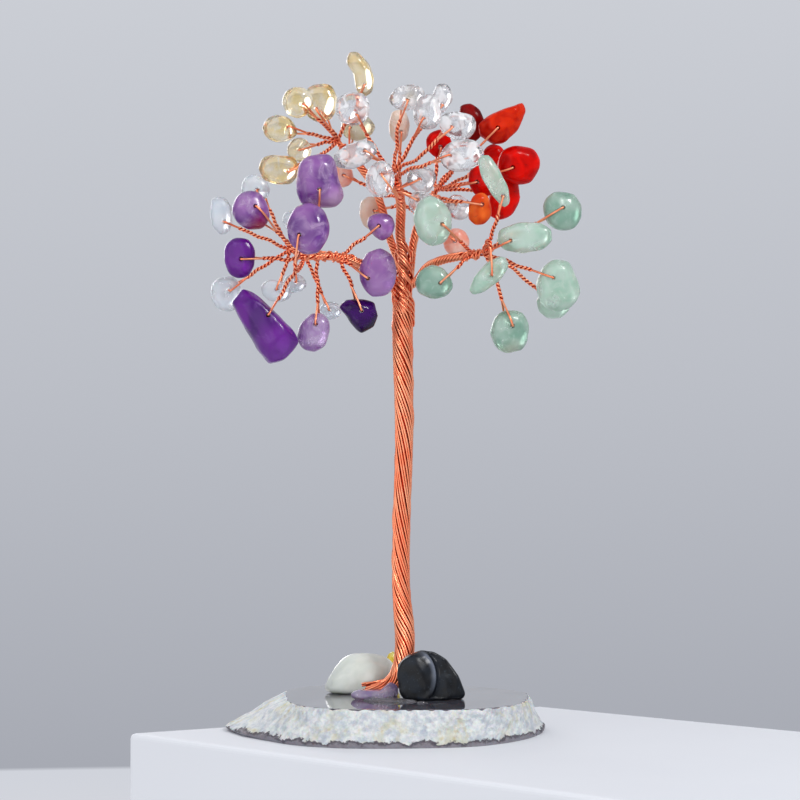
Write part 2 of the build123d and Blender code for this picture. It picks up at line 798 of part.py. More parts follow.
FOOT_CHIP_OUTLINE_SHARES = (
    (0.90, 0.40),
    (0.62, 0.84),
    (0.06, 1.00),
    (-0.62, 0.90),
    (-1.00, 0.52),
    (-0.70, 0.00),
    (0.62, 0.00),
)
# Levels from front to back: share of the depth, shares of the outline's width and height, and
# shift right in shares of half the width.
PLAIN_LEVEL_SHARES = (
    (-0.50, 0.52, 0.52, 0.00),
    (-0.36, 0.80, 0.80, 0.00),
    (-0.06, 1.00, 1.00, 0.00),
    (0.24, 0.90, 0.90, 0.00),
    (0.50, 0.56, 0.56, 0.00),
)
BLACK_LEVEL_SHARES = (
    (-0.50, 0.42, 0.72, -0.46),
    (-0.42, 0.55, 0.90, -0.42),
    (-0.14, 0.98, 1.00, -0.01),
    (0.24, 0.86, 0.92, 0.10),
    (0.50, 0.60, 0.58, 0.24),
)

# How far the black stone reaches in front of the trunk, in shares of the trunk's radius.
BLACK_SET_SHARE = 0.6
WHITE_STONE_X = TRUNK_X - TRUNK_RADIUS + STONE_GAP - WHITE_STONE_WIDTH / 2
WHITE_STONE_Y = WHITE_STONE_DEPTH / 2 + STONE_GAP
BLACK_LEFT = TRUNK_X - TRUNK_RADIUS * BLACK_SET_SHARE
BLACK_STONE_X = BLACK_LEFT + BLACK_STONE_WIDTH / 2
BLACK_STONE_Y = -FOOT_REACH
FOOT_STONE_X = BLACK_LEFT + STONE_GAP - FOOT_STONE_WIDTH / 2
FOOT_STONE_Y = -FOOT_REACH
FOOT_CHIP_X = TRUNK_X - TRUNK_RADIUS
FOOT_CHIP_Y = WHITE_STONE_Y + WHITE_STONE_DEPTH / 2 + STONE_GAP + FOOT_CHIP_DEPTH / 2
GLUE_X = BLACK_LEFT
GLUE_Y = -FOOT_REACH

# Height share of the glue's thickness, and share of its outline's size.
GLUE_LEVEL_SHARES = ((0, 1.0), (0.55, 0.97), (1, 0.86))


def laid_stone(outline, levels, width, depth, height, x, y):
    """A tumbled stone lying on the slice, with rings set one behind the other."""
    rings = []
    for depth_share, width_share, height_share, shift_share in levels:
        ring = []
        for right, up in outline:
            place_x = x + (right * width_share + shift_share) * width / 2
            place_z = SLICE_THICKNESS + up * height_share * height
            ring.append(Vector(place_x, y + depth_share * depth, place_z))
        rings.append(ring)
    return skin(rings)


def white_tumbled_stone():
    size = (WHITE_STONE_WIDTH, WHITE_STONE_DEPTH, WHITE_STONE_HEIGHT)
    place = (WHITE_STONE_X, WHITE_STONE_Y)
    return laid_stone(WHITE_OUTLINE_SHARES, PLAIN_LEVEL_SHARES, *size, *place)


def black_tumbled_stone():
    size = (BLACK_STONE_WIDTH, BLACK_STONE_DEPTH, BLACK_STONE_HEIGHT)
    place = (BLACK_STONE_X, BLACK_STONE_Y)
    return laid_stone(BLACK_OUTLINE_SHARES, BLACK_LEVEL_SHARES, *size, *place)


def amethyst_foot_stone():
    size = (FOOT_STONE_WIDTH, FOOT_STONE_DEPTH, FOOT_STONE_HEIGHT)
    place = (FOOT_STONE_X, FOOT_STONE_Y)
    return laid_stone(FOOT_STONE_OUTLINE_SHARES, PLAIN_LEVEL_SHARES, *size, *place)


def citrine_foot_chip():
    size = (FOOT_CHIP_WIDTH, FOOT_CHIP_DEPTH, FOOT_CHIP_HEIGHT)
    place = (FOOT_CHIP_X, FOOT_CHIP_Y)
    return laid_stone(FOOT_CHIP_OUTLINE_SHARES, PLAIN_LEVEL_SHARES, *size, *place)


def glue_pad(*stones):
    """A thin puddle of clear glue that the stones and the trunk's foot are set in."""
    rings = []
    for level_share, size_share in GLUE_LEVEL_SHARES:
        ring = []
        for k in range(GLUE_SIDES):
            angle = 2 * pi * k / GLUE_SIDES
            x = GLUE_X + size_share * GLUE_WIDTH / 2 * cos(angle)
            y = GLUE_Y + size_share * GLUE_DEPTH / 2 * sin(angle)
            ring.append(Vector(x, y, SLICE_THICKNESS + level_share * GLUE_THICKNESS))
        rings.append(ring)
    return skin(rings).cut(*stones)


def ornament():
    """Every node of the ornament by its name."""
    nodes = {
        "agate_slice": agate_slice(),
        "white_tumbled_stone": white_tumbled_stone(),
        "black_tumbled_stone": black_tumbled_stone(),
        "amethyst_foot_stone": amethyst_foot_stone(),
        "citrine_foot_chip": citrine_foot_chip(),
        "trunk_wires": trunk_wires(),
    }
    nodes["glue_pad"] = glue_pad(nodes["black_tumbled_stone"], nodes["amethyst_foot_stone"])
    for stone in LIMB_SHARES:
        chips = branch_chips(stone)
        nodes[stone + "_branch"] = branch(stone, chips)
        stones = [chip.stone() for chip in chips]
        if stone in GROUPED:
            nodes[stone + "_chips"] = Compound(children=stones)
        else:
            for number, body in enumerate(stones, start=1):
                nodes[f"{stone}_chip_{number}"] = body
    return nodes


print(f"least gap between the collar's strands: {collar_gap():.2f} mm")

os.makedirs("parts", exist_ok=True)
for name, shape in ornament().items():
    shape.label = name
    export_step(shape, f"parts/{name}.step")
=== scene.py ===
import math

import bmesh
import bpy
import numpy as np
from mathutils import Matrix, Vector, noise
from mathutils.bvhtree import BVHTree


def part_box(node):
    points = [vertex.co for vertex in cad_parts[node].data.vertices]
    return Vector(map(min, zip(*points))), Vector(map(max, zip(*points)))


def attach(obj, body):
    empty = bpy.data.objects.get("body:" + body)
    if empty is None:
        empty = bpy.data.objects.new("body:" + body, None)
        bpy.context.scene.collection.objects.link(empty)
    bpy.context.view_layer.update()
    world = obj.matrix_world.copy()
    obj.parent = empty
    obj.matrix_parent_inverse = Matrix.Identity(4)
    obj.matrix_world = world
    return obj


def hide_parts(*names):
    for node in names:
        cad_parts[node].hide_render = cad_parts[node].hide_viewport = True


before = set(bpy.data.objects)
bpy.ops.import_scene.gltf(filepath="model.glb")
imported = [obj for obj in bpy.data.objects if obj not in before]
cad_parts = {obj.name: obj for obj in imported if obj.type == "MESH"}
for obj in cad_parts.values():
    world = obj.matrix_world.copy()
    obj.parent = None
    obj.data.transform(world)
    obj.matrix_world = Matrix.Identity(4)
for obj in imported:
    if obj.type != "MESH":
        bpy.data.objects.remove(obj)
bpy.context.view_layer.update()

# The part's own lengths are in millimetres here, and go to metres where a mesh is made.
MM = 0.001
UP = np.array((0.0, 0.0, 1.0))
FRONT = np.array((0.0, -1.0, 0.0))
# The view from the front: the eye's place, and the focal length and the middle in its pixels.
EYE = np.array((3.2, -580.0, 71.0))
FOCUS = 2697.7
VIEW_MIDDLE = 400


def linked(name, data):
    """An object that stands in the scene."""
    made = bpy.data.objects.new(name, data)
    bpy.context.scene.collection.objects.link(made)
    return made


def meshed(name, shape):
    """A mesh from a shape in the making, which is done with after that."""
    mesh = bpy.data.meshes.new(name)
    shape.to_mesh(mesh)
    shape.free()
    return mesh


# Materials


class Flow:
    """A number or a colour that runs between nodes, with arithmetic."""

    def __init__(self, tree, socket):
        self.tree = tree
        self.socket = socket

    def maths(self, operation, *others):
        sockets = dict(enumerate((self, *others)))
        return self.tree.node("ShaderNodeMath", {"operation": operation}, sockets)

    def __add__(self, other):
        return self.maths("ADD", other)

    def __mul__(self, other):
        return self.maths("MULTIPLY", other)

    def __rsub__(self, other):
        return self.tree.node("ShaderNodeMath", {"operation": "SUBTRACT"}, {0: other, 1: self})

    __radd__ = __add__
    __rmul__ = __mul__


class Nodes:
    """The nodes of a material or of the surroundings."""

    def __init__(self, tree):
        self.nodes = tree.nodes
        self.links = tree.links

    def node(self, kind, settings, sockets, output=0):
        """A node of one kind: its settings first, then its sockets' values or links."""
        made = self.nodes.new(kind)
        for name, value in settings.items():
            if name == "stops":
                ramp = made.color_ramp
                while len(ramp.elements) < len(value):
                    ramp.elements.new(1.0)
                for element, (place, colour) in zip(ramp.elements, value):
                    element.position = place
                    element.color = colour
            else:
                setattr(made, name, value)
        for name, value in sockets.items():
            self.feed(made.inputs[name], value)
        return Flow(self, made.outputs[output])

    def feed(self, socket, value):
        if isinstance(value, Flow):
            self.links.new(value.socket, socket)
        else:
            socket.default_value = value


class Finish(Nodes):
    """A material in the making."""

    def __init__(self, name):
        self.material = bpy.data.materials.new(name)
        self.material.use_nodes = True
        super().__init__(self.material.node_tree)
        self.shader = self.nodes["Principled BSDF"]

    def set(self, **values):
        """Sets or links the shader's own sockets; a name's underscores are its spaces."""
        for name, value in values.items():
            self.feed(self.shader.inputs[name.replace("_", " ")], value)

    def place(self):
        """Where a point of the surface lies on the object, in metres."""
        return self.node("ShaderNodeTexCoord", {}, {}, output=3)

    def cloud(self, size, detail=3.0, roughness=0.55, distortion=0.0):
        """Soft noise whose lumps are about so many millimetres wide, from 0 to 1."""
        sockets = {
            "Vector": self.place(),
            "Scale": 1 / (size * MM),
            "Detail": detail,
            "Roughness": roughness,
            "Distortion": distortion,
        }
        return self.node("ShaderNodeTexNoise", {}, sockets)

    def cells(self, size):
        """The distance to the nearest of points about so many millimetres apart."""
        sockets = {"Vector": self.place(), "Scale": 1 / (size * MM)}
        return self.node("ShaderNodeTexVoronoi", {"feature": "F1"}, sockets)

    def mark(self, name):
        """A number that the mesh carries at each of its places."""
        return self.node("ShaderNodeAttribute", {"attribute_name": name}, {}, output=2)

    def spot(self, centre, reach):
        """A mask that is 1 at a place in metres and fades to 0 so many millimetres away."""
        sockets = {0: self.place(), 1: centre}
        away = self.node("ShaderNodeVectorMath", {"operation": "DISTANCE"}, sockets, output=1)
        return 1 - self.between(away, 0.25 * reach * MM, reach * MM)

    def between(self, value, low, high):
        """A mask that rises smoothly from 0 to 1 as a value goes from low to high."""
        sockets = {"Value": value, "From Min": low, "From Max": high}
        return self.node("ShaderNodeMapRange", {"interpolation_type": "SMOOTHSTEP"}, sockets)

    def mix(self, mask, first, second):
        """A colour between two, by a mask."""
        return self.node("ShaderNodeMix", {"data_type": "RGBA"}, {0: mask, 6: first, 7: second}, 2)

    def blushed(self, body, blush):
        """A body's colour, or another one round one place of a chip where there is a blush.

        A blush is a colour, a chip, a place on it as in on_chip, and a reach in millimetres."""
        if blush is None:
            return body
        colour, node, right, up, reach = blush
        return self.mix(self.spot(on_chip(node, right, up), reach), body, tone(*colour))

    def cover(self, mask, shader):
        """Lays a second shader over the first one where a mask is 1."""
        sockets = {0: mask, 1: Flow(self, self.shader.outputs[0]), 2: shader}
        both = self.node("ShaderNodeMixShader", {}, sockets)
        self.feed(self.nodes["Material Output"].inputs["Surface"], both)

    def bump(self, height, depth):
        """Dents so many millimetres deep."""
        sockets = {"Height": height, "Distance": depth * MM, "Strength": 1.0}
        self.set(Normal=self.node("ShaderNodeBump", {}, sockets))


def tone(red, green, blue):
    """A colour as it looks on a screen, from 0 to 255."""
    shares = [value / 255 for value in (red, green, blue)]
    bright = [s / 12.92 if s <= 0.04045 else ((s + 0.055) / 1.055) ** 2.4 for s in shares]
    return (*bright, 1.0)


def on_chip(node, right, up):
    """A place on a chip, right and up from its middle in shares of half its size, in metres."""
    low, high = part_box(node)
    shares = (right, 0, up)
    return tuple((a + b) / 2 + share * (b - a) / 2 for a, b, share in zip(low, high, shares))


def copper_wire():
    """Bright wire with painted shade, darker and redder in the hollows between strands."""
    finish = Finish("copper_wire")
    worn = finish.between(finish.cloud(4.0, detail=2), 0.36, 0.66)
    bright = finish.mix(worn, tone(252, 144, 104), tone(254, 170, 130))
    # Painted shade: how far a place turns inwards darkens the copper where shade falls between
    # strands.
    hollow = finish.between(finish.mark("hollow"), 0.28, 0.64)
    finish.set(
        Base_Color=finish.mix(hollow, bright, tone(196, 40, 14)),
        Metallic=1.0,
        Roughness=0.27 + 0.08 * worn + 0.12 * hollow,
    )
    return finish.material


# Copper for the inner wires, painted darker and redder: painted shade deep between the strands.
def copper_core():
    finish = Finish("copper_core")
    shade = finish.cloud(1.2)
    finish.set(
        Base_Color=finish.mix(shade, tone(170, 28, 10), tone(206, 50, 22)),
        Metallic=1.0,
        Roughness=0.42,
    )
    return finish.material


def gem(name, colours, size, clearness, cover=(0.42, 0.66), rough=0.22, gloss=1.0, blush=None):
    """A tumbled translucent stone: deep and clear colour in lumps, with a pale veil."""
    finish = Finish(name)
    deep, clear, veil = (tone(*colour) for colour in colours)
    zones = finish.between(finish.cloud(size * 1.7, detail=1, distortion=0.3), 0.34, 0.66)
    body = finish.mix(zones, deep, clear)
    wisps = finish.between(finish.cloud(size, detail=4, distortion=0.9), *cover)
    finish.set(
        Base_Color=finish.blushed(finish.mix(wisps * 0.6, body, veil), blush),
        Roughness=rough + 0.06 * wisps,
        Transmission_Weight=clearness,
        IOR=1.54,
        Subsurface_Weight=0.40,
        Subsurface_Radius=(1.0, 0.8, 0.9),
        Subsurface_Scale=0.0024,
        Specular_IOR_Level=0.3 * gloss,
        Coat_Weight=0.25 * gloss,
        Coat_Roughness=0.05,
    )
    finish.bump(finish.cloud(size * 0.6, detail=2), 0.03)
    return finish.material


def violet(name, blush=None):
    """The common colour of the amethyst chips."""
    return gem(name, ((104, 38, 140), (166, 106, 186), (204, 174, 214)), 3.4, 0.30, blush=blush)


def dusk(name, blush=None):
    """Deep, duller amethyst."""
    colours = ((80, 4, 122), (122, 26, 162), (154, 94, 192))
    return gem(name, colours, 3.8, 0.26, cover=(0.54, 0.74), gloss=0.6, blush=blush)


def moss(name, blush=None):
    """The greyer kind of green aventurine."""
    colours = ((148, 190, 170), (186, 214, 198), (218, 234, 224))
    return gem(name, colours, 2.2, 0.5, cover=(0.50, 0.74), blush=blush)


def rock_crystal(name, blush=None):
    """Clear glassy quartz with frosty veils inside."""
    finish = Finish(name)
    clear = finish.blushed(tone(252, 252, 254), blush)
    finish.set(Base_Color=clear, Roughness=0.02, Transmission_Weight=1.0, IOR=1.54)
    frost = {
        "Base Color": tone(250, 250, 253),
        "Roughness": 0.2,
        "Subsurface Weight": 0.6,
        "Subsurface Radius": (1.0, 1.0, 1.0),
        "Subsurface Scale": 0.0015,
    }
    veils = finish.between(finish.cloud(2.8, detail=1, distortion=0.9), 0.44, 0.60)
    finish.cover(0.12 + 0.58 * veils, finish.node("ShaderNodeBsdfPrincipled", {}, frost))
    finish.bump(finish.cloud(1.8, detail=1), 0.04)
    return finish.material


def red_jasper(name, deep, bright):
    """Opaque red stone in lumps of two reds, with darker seams."""
    finish = Finish(name)
    zones = finish.between(finish.cloud(4.5, detail=2, distortion=0.5), 0.34, 0.62)
    body = finish.mix(zones, tone(*deep), tone(*bright))
    seams = finish.between(finish.cloud(2.2, detail=5, distortion=1.2), 0.64, 0.74)
    finish.set(
        Base_Color=finish.mix(seams * 0.5, body, tone(86, 4, 6)),
        Roughness=0.26 + 0.10 * seams,
        Specular_IOR_Level=0.06,
        Coat_Weight=0.08,
        Coat_Roughness=0.08,
        Subsurface_Weight=0.15,
        Subsurface_Radius=(1.0, 0.15, 0.08),
        Subsurface_Scale=0.0012,
    )
    finish.bump(finish.cloud(1.6, detail=2), 0.03)
    return finish.material


def milky_white():
    finish = Finish("milky_white_stone")
    zones = finish.between(finish.cloud(5.0, detail=3, distortion=0.5), 0.35, 0.65)
    finish.set(
        Base_Color=finish.mix(zones, tone(216, 222, 214), tone(229, 233, 226)),
        Roughness=0.24,
        Subsurface_Weight=0.5,
        Subsurface_Radius=(1.0, 1.0, 0.85),
        Subsurface_Scale=0.003,
        Coat_Weight=0.6,
        Coat_Roughness=0.06,
    )
    finish.bump(finish.cloud(2.4, detail=2), 0.02)
    return finish.material


def black_polish():
    """A soft polish over black stone with fine grey grains, and a painted highlight along the round
    face's upper right edge.
    """
    finish = Finish("black_stone")
    specks = finish.between(finish.cloud(0.45, detail=4), 0.60, 0.74)
    clouded = finish.between(finish.cloud(3.0, detail=3), 0.40, 0.66)
    body = finish.mix(clouded, tone(5, 7, 12), tone(16, 24, 34))
    # Painted highlight: a pale grey crescent where the face's edge would catch the light.
    highlighted = finish.mix(finish.mark("scuff"), body, tone(132, 140, 156))
    finish.set(
        Base_Color=finish.mix(specks * 0.5, highlighted, tone(72, 84, 94)),
        Roughness=0.28 + 0.08 * clouded,
        Specular_IOR_Level=0.30,
    )
    finish.bump(finish.cloud(0.9, detail=3), 0.012)
    return finish.material


def clear_glue():
    finish = Finish("clear_glue")
    ripples = finish.cloud(1.8, detail=2)
    finish.set(
        Base_Color=tone(236, 234, 240),
        Roughness=0.04 + 0.05 * ripples,
        Transmission_Weight=0.92,
        IOR=1.46,
    )
    finish.bump(ripples, 0.12)
    return finish.material


def agate_polish():
    """The polished face: grey-violet chalcedony with faint wandering bands."""
    finish = Finish("agate_polish")
    bands = finish.between((finish.cloud(16, detail=3) * 14.08).maths("SINE"), -0.4, 1.0)
    shade = finish.between(finish.cloud(9, detail=3), 0.35, 0.65)
    body = finish.mix(shade, tone(52, 46, 60), tone(72, 68, 82))
    finish.set(
        Base_Color=finish.mix(bands * 0.22, body, tone(160, 158, 166)),
        Roughness=0.035 + 0.03 * shade,
        Specular_IOR_Level=0.5,
        Coat_Weight=0.5,
        Coat_Roughness=0.02,
        Subsurface_Weight=0.15,
        Subsurface_Scale=0.003,
    )
    finish.bump(finish.cloud(6, detail=2), 0.02)
    return finish.material


def agate_crust():
    """The rough rim: blue-white druse with yellowish stains, over a grey foot."""
    finish = Finish("agate_crust")
    height = finish.node("ShaderNodeSeparateXYZ", {}, {0: finish.place()}, output=2) * (1 / MM)
    patches = finish.between(finish.cloud(4.5, detail=4, distortion=0.6), 0.50, 0.68)
    grain = finish.cloud(1.9, detail=6, roughness=0.66)
    grey = finish.between(finish.cloud(2.6, detail=4), 0.54, 0.74)
    body = finish.mix(finish.between(grain, 0.36, 0.62), tone(200, 207, 214), tone(239, 242, 240))
    cool = finish.mix(grey * 0.45, body, tone(168, 178, 196))
    stained = finish.mix(patches * 0.6, cool, tone(218, 212, 176))
    rust = 1 - finish.between(finish.cells(1.9), 0.14, 0.40)
    warm = finish.mix(rust * patches * 0.6, stained, tone(204, 186, 128))
    jagged = height + 4.6 * finish.cloud(3.4, detail=6, roughness=0.68)
    foot = finish.between(jagged, 3.35, 3.65)
    band = finish.mix(finish.between(jagged, 2.7, 3.3), tone(138, 134, 142), tone(78, 72, 82))
    finish.set(
        Base_Color=finish.mix(foot, band, warm),
        Roughness=0.38 + 0.22 * grain,
        Specular_IOR_Level=0.55,
        Subsurface_Weight=0.25,
        Subsurface_Scale=0.0018,
    )
    relief = finish.cloud(1.4, detail=6, roughness=0.66) + 0.7 * finish.cells(1.1)
    finish.bump(relief, 0.65)
    return finish.material


def pale_floor():
    finish = Finish("pale_block")
    finish.set(
        Base_Color=finish.mix(finish.cloud(60), tone(236, 238, 244), tone(242, 244, 249)),
        Roughness=0.55,
    )
    return finish.material


# Lines and wires

CURVE_STEPS = 40
WIRE_SIDES = 8
WIRE_CREASE = 60
# Wires are laid in steps of about these lengths.
TRUNK_STEP = 0.5
LIMB_STEP = 0.22
TWIG_STEP = 0.16


def unit(vector):
    return vector / np.linalg.norm(vector)


def smooth_line(points, start, finish, spacing):
    """Evenly spaced places on the smoothest curve through points, with its end directions."""
    places = np.array(points, float)
    spans = np.linalg.norm(np.diff(places, axis=0), axis=1)
    count = len(places)
    system = np.zeros((count, count))
    target = np.zeros((count, 3))
    system[0, 0] = system[-1, -1] = 1
    target[0], target[-1] = start, finish
    for k in range(1, count - 1):
        before, after = spans[k - 1], spans[k]
        system[k, k - 1 : k + 2] = after, 2 * (before + after), before
        gone = (places[k] - places[k - 1]) / before
        coming = (places[k + 1] - places[k]) / after
        target[k] = 3 * (after * gone + before * coming)
    slopes = np.linalg.solve(system, target)
    t = np.linspace(0, 1, CURVE_STEPS, endpoint=False)[:, None]
    fine = [
        (2 * t**3 - 3 * t**2 + 1) * places[k]
        + (t**3 - 2 * t**2 + t) * span * slopes[k]
        + (3 * t**2 - 2 * t**3) * places[k + 1]
        + (t**3 - t**2) * span * slopes[k + 1]
        for k, span in enumerate(spans)
    ]
    return evenly(np.vstack([*fine, places[-1:]]), spacing)


def lengths_along(line):
    return np.concatenate([[0], np.cumsum(np.linalg.norm(np.diff(line, axis=0), axis=1))])


def evenly(line, spacing):
    """The same line with its places about so far apart."""
    gone = lengths_along(line)
    steps = max(2, round(gone[-1] / spacing))
    marks = np.linspace(0, gone[-1], steps + 1)
    return np.column_stack([np.interp(marks, gone, line[:, k]) for k in range(3)])


def directions(line):
    ahead = np.gradient(line, axis=0)
    return ahead / np.linalg.norm(ahead, axis=1)[:, None]


def carried_sides(line, side):
    """A direction square to the line at each place, carried along it without twist."""
    ahead = directions(line)
    sides = []
    for along in ahead:
        side = unit(side - along * side.dot(along))
        sides.append(side)
    sides = np.array(sides)
    return sides, np.cross(ahead, sides)


def twisted(line, side, radius, start, turns):
    """A strand wound left-handed round a line, with its radius and its turns by place."""
    sides, others = carried_sides(line, side)
    angle = start - 2 * math.pi * turns
    reach = np.broadcast_to(radius, len(line))
    return (
        line
        + sides * (reach * np.cos(angle))[:, None]
        + others * (reach * np.sin(angle))[:, None]
    )


def relaxed(line, rounds):
    """A line with its corners eased and its ends kept."""
    line = line.copy()
    for _ in range(rounds):
        line[1:-1] = (line[:-2] + 2 * line[1:-1] + line[2:]) / 4
    return line


def start_angle(k, count, stray=0.0, beat=0.0):
    """Where one of a ring of strands starts, a little off its even place."""
    return 2 * math.pi * (k + stray * math.sin(beat * k)) / count


class Wirework:
    """Round wires gathered into one mesh that marks how far each place is turned inwards, for the
    painted shade in the hollows.
    """

    def __init__(self):
        self.points = []
        self.faces = []
        self.hollows = []

    def lay(self, line, radius, middle=None, sides=WIRE_SIDES, hollow=1):
        """One wire with flat cut ends along a line, wound round a middle where it has one."""
        first = np.array((0.0, 1.0, 0.0))
        if abs(directions(line)[0][1]) > 0.9:
            first = np.array((1.0, 0.0, 0.0))
        across, other = carried_sides(line, first)
        reach = np.broadcast_to(radius, len(line))[:, None]
        start = len(self.points)
        away = np.zeros(line.shape) if middle is None else line - middle
        away = away / np.maximum(np.linalg.norm(away, axis=1), 0.05)[:, None]
        wound = np.abs(away).sum(axis=1) > 0.5
        rings, hollows = [], []
        for k in range(sides):
            angle = 2 * math.pi * k / sides
            outwards = across * math.cos(angle) + other * math.sin(angle)
            rings.append(line + reach * outwards)
            # The mark for painted shade: 1 where a place faces into its middle, 0.5 at its flanks, 0
            # outside.
            inwards = -(outwards * away).sum(axis=1)
            hollows.append(hollow * np.where(wound, 0.5 + 0.5 * inwards, 0))
        self.points.extend(np.stack(rings, axis=1).reshape(-1, 3))
        self.hollows.extend(np.stack(hollows, axis=1).reshape(-1))
        for k in range(len(line) - 1):
            near = start + k * sides
            for j in range(sides):
                after = (j + 1) % sides
                self.faces.append((near + j, near + after, near + sides + after, near + sides + j))
        last = start + (len(line) - 1) * sides
        self.faces.append(tuple(range(start + sides - 1, start - 1, -1)))
        self.faces.append(tuple(range(last, last + sides)))

    def wind(self, line, side, reach, start, turns, first=0, last=None, hollow=1):
        """A strand wound round a line, laid from one of its places to another."""
        strand = twisted(line, side, reach, start, turns)[first:last]
        self.lay(strand, STRAND, line[first:last], hollow=hollow)

    def piece(self, name, material):
        mesh = bpy.data.meshes.new(name)
        mesh.from_pydata((np.array(self.points) * MM).tolist(), [], self.faces)
        mesh.shade_smooth()
        mesh.set_sharp_from_angle(angle=math.radians(WIRE_CREASE))
        mesh.materials.append(material)
        marks = mesh.attributes.new("hollow", "FLOAT", "POINT")
        marks.data.foreach_set("value", self.hollows)
        return linked(name, mesh)


# The tree's wires

# A strand's radius.
STRAND = 0.23
TRUNK_X = 3.8
SLICE_TOP = 7.6
TRUNK_RISE = 87.0
TRUNK_RADIUS = 2.25
TRUNK_TURNS = 2.9
TRUNK_STRANDS = 18
TRUNK_TOP = SLICE_TOP + TRUNK_RISE
# Rounds that ease the change from one tightness of the turns to the next.
TURN_EASING = 300
# How far one strand wanders from its lay, and over how many steps.
TRUNK_WANDER = (0.08, 34)
LIMB_WANDER = (0.06, 26)
CROTCH_WANDER = (0.15, 20)
TWIG_WANDER = (0.9, 26)
# The trunk's top draws in by this share over this share of its length.
TOP_TUCK = 0.30
TUCK_LENGTH = 0.045
# The strands part at the foot by this share over this share of the length.
FOOT_SPLAY = 0.4
SPLAY_LENGTH = 0.07
FOOT_CUTS = 5
# Strands that cross the trunk's lay: how many, and in steps along the trunk where the first one
# starts, how far apart they start, how far each runs and how soon it has come up.
CROSS_STRANDS = 4
CROSS_FIRST = 30
CROSS_APART = 34
CROSS_RUN = 84
CROSS_RISE = 14
CROSS_TURNS = 1.10
CROSS_ANGLE = 0.5
# Their depth below the others' outside and their lift from there, in strand radii.
CROSS_DEPTH = 2.6
CROSS_LIFT = 2.3
# The core's depth below the strands' outside, in strand radii; its dark red is painted shade.
TRUNK_CORE = 2.4
LIMB_CORE = 1.8
LEAST_CORE = 0.12
FOOT_REACH = 8.7
CROWN_REACH = 43.0
# A limb's radius where it sits in the trunk's top.
LIMB_SEAT = 0.72
LIMB_LAY = 5.2
# How far a limb's strands run down inside the trunk, and the step from there to the limb itself.
LIMB_TAIL = 5.0
TAIL_GAP = 0.25
# A limb is full from this share of its length, and narrows to these shares where its twigs part
# and at its tip.
LIMB_SWELL = 0.14
LIMB_WAIST = 0.96
LIMB_TIP = 0.55
LIMB_SIDE = np.array((0.3, -1.0, 0.1))
# How far apart a limb's outer strands lie, in strand radii, and how full its wires fill it.
LIMB_SPACING = 2.15
PACKING = 0.95
# Strands that run on from the trunk's top: their number, rise, tail below it and reach at the tip.
CROTCH_STRANDS = 9
CROTCH_RISE = 10.5
CROTCH_TAIL = 1.5
CROTCH_TIP = 1.3
CROTCH_TURNS = 0.9
CROTCH_CUTS = 7
# Strands of the stub that is cut off short: their number and their reach in strand radii.
STUB_STRANDS = 3
STUB_REACH = 1.15
# The length of one turn of a twisted pair.
PAIR_LAY = 1.8
# How dark the painted shade in the hollows between strands is, against that of the trunk.
LIMB_PAINTED_SHADE = 0.85
PAIR_PAINTED_SHADE = 1.45
# Turns that bind a limb's tip: how many, how many steps each runs to both sides of its middle,
# and where the first lies and how far apart they are, in shares of the tip.
BIND_TURNS = 4
BIND_STEPS = 6
BIND_FIRST = -0.05
BIND_APART = 0.24
# How often each goes round, how much more every other one does, and the angle between them.
BIND_ROUND = 1.3
BIND_MORE = 0.2
BIND_ANGLE = 1.9
# Their lift from the limb and from one to the next, in strand radii.
BIND_LIFT = 0.4
BIND_RISE = 0.3
# Strands over the front of the trunk's top: how many, how far they drop, how far apart they lie,
# and from which angle and how far round they go, in degrees.
COLLAR_STRANDS = 4
COLLAR_DROP = 5.0
COLLAR_SPACING = 1.24
COLLAR_START = 224
COLLAR_SWEEP = 122
# The share of the limb at which the first of them leaves it, and how much sooner the others do.
COLLAR_LEAVE = 0.36
COLLAR_SOONER = 0.055
# The share of the drop that lies above the trunk's top, how far each runs in shares of the drop
# and in how many places, how fast its end sinks in, in strand radii, and the rounds that ease it.
COLLAR_ABOVE = 0.45
COLLAR_LENGTH = 1.25
COLLAR_PLACES = 26
COLLAR_SINK = 2.0
COLLAR_EASING = 12
# Share of the trunk's length from the cut foot, and share of its turns: tighter at both ends.
TURN_SHARES = ((0.00, 0.00), (0.25, 0.32), (0.45, 0.51), (0.72, 0.67), (1.00, 1.00))

# The trunk's middle and its girth from the cut foot up, in shares. A row of the foot gives right,
# back, up and girth. A row of the stem gives up, right, back and girth.
FOOT_SHARES = (
    (-1.00, -0.60, 0.22, 0.56),
    (-0.67, -0.64, 0.23, 0.64),
    (-0.35, -0.60, 0.31, 0.76),
    (-0.11, -0.49, 0.54, 0.88),
    (0.03, -0.38, 1.00, 0.94),
)
STEM_SHARES = (
    (0.17, 0.14, -0.80, 0.97),
    (0.24, -0.10, -0.40, 0.88),
    (0.36, -0.16, -0.12, 0.84),
    (0.48, -0.06, 0.00, 0.85),
    (0.61, 0.12, 0.00, 0.87),
    (0.75, 0.08, 0.00, 0.93),
    (0.90, -0.02, 0.00, 0.99),
    (1.00, 0.00, 0.00, 1.00),
)
# The middle of the cut stub beside the trunk's top, in the same shares as the limbs' points.
STUB_SHARES = ((0.004, -0.036, 0.03), (0.028, -0.040, 0.12), (0.052, -0.040, 0.20))

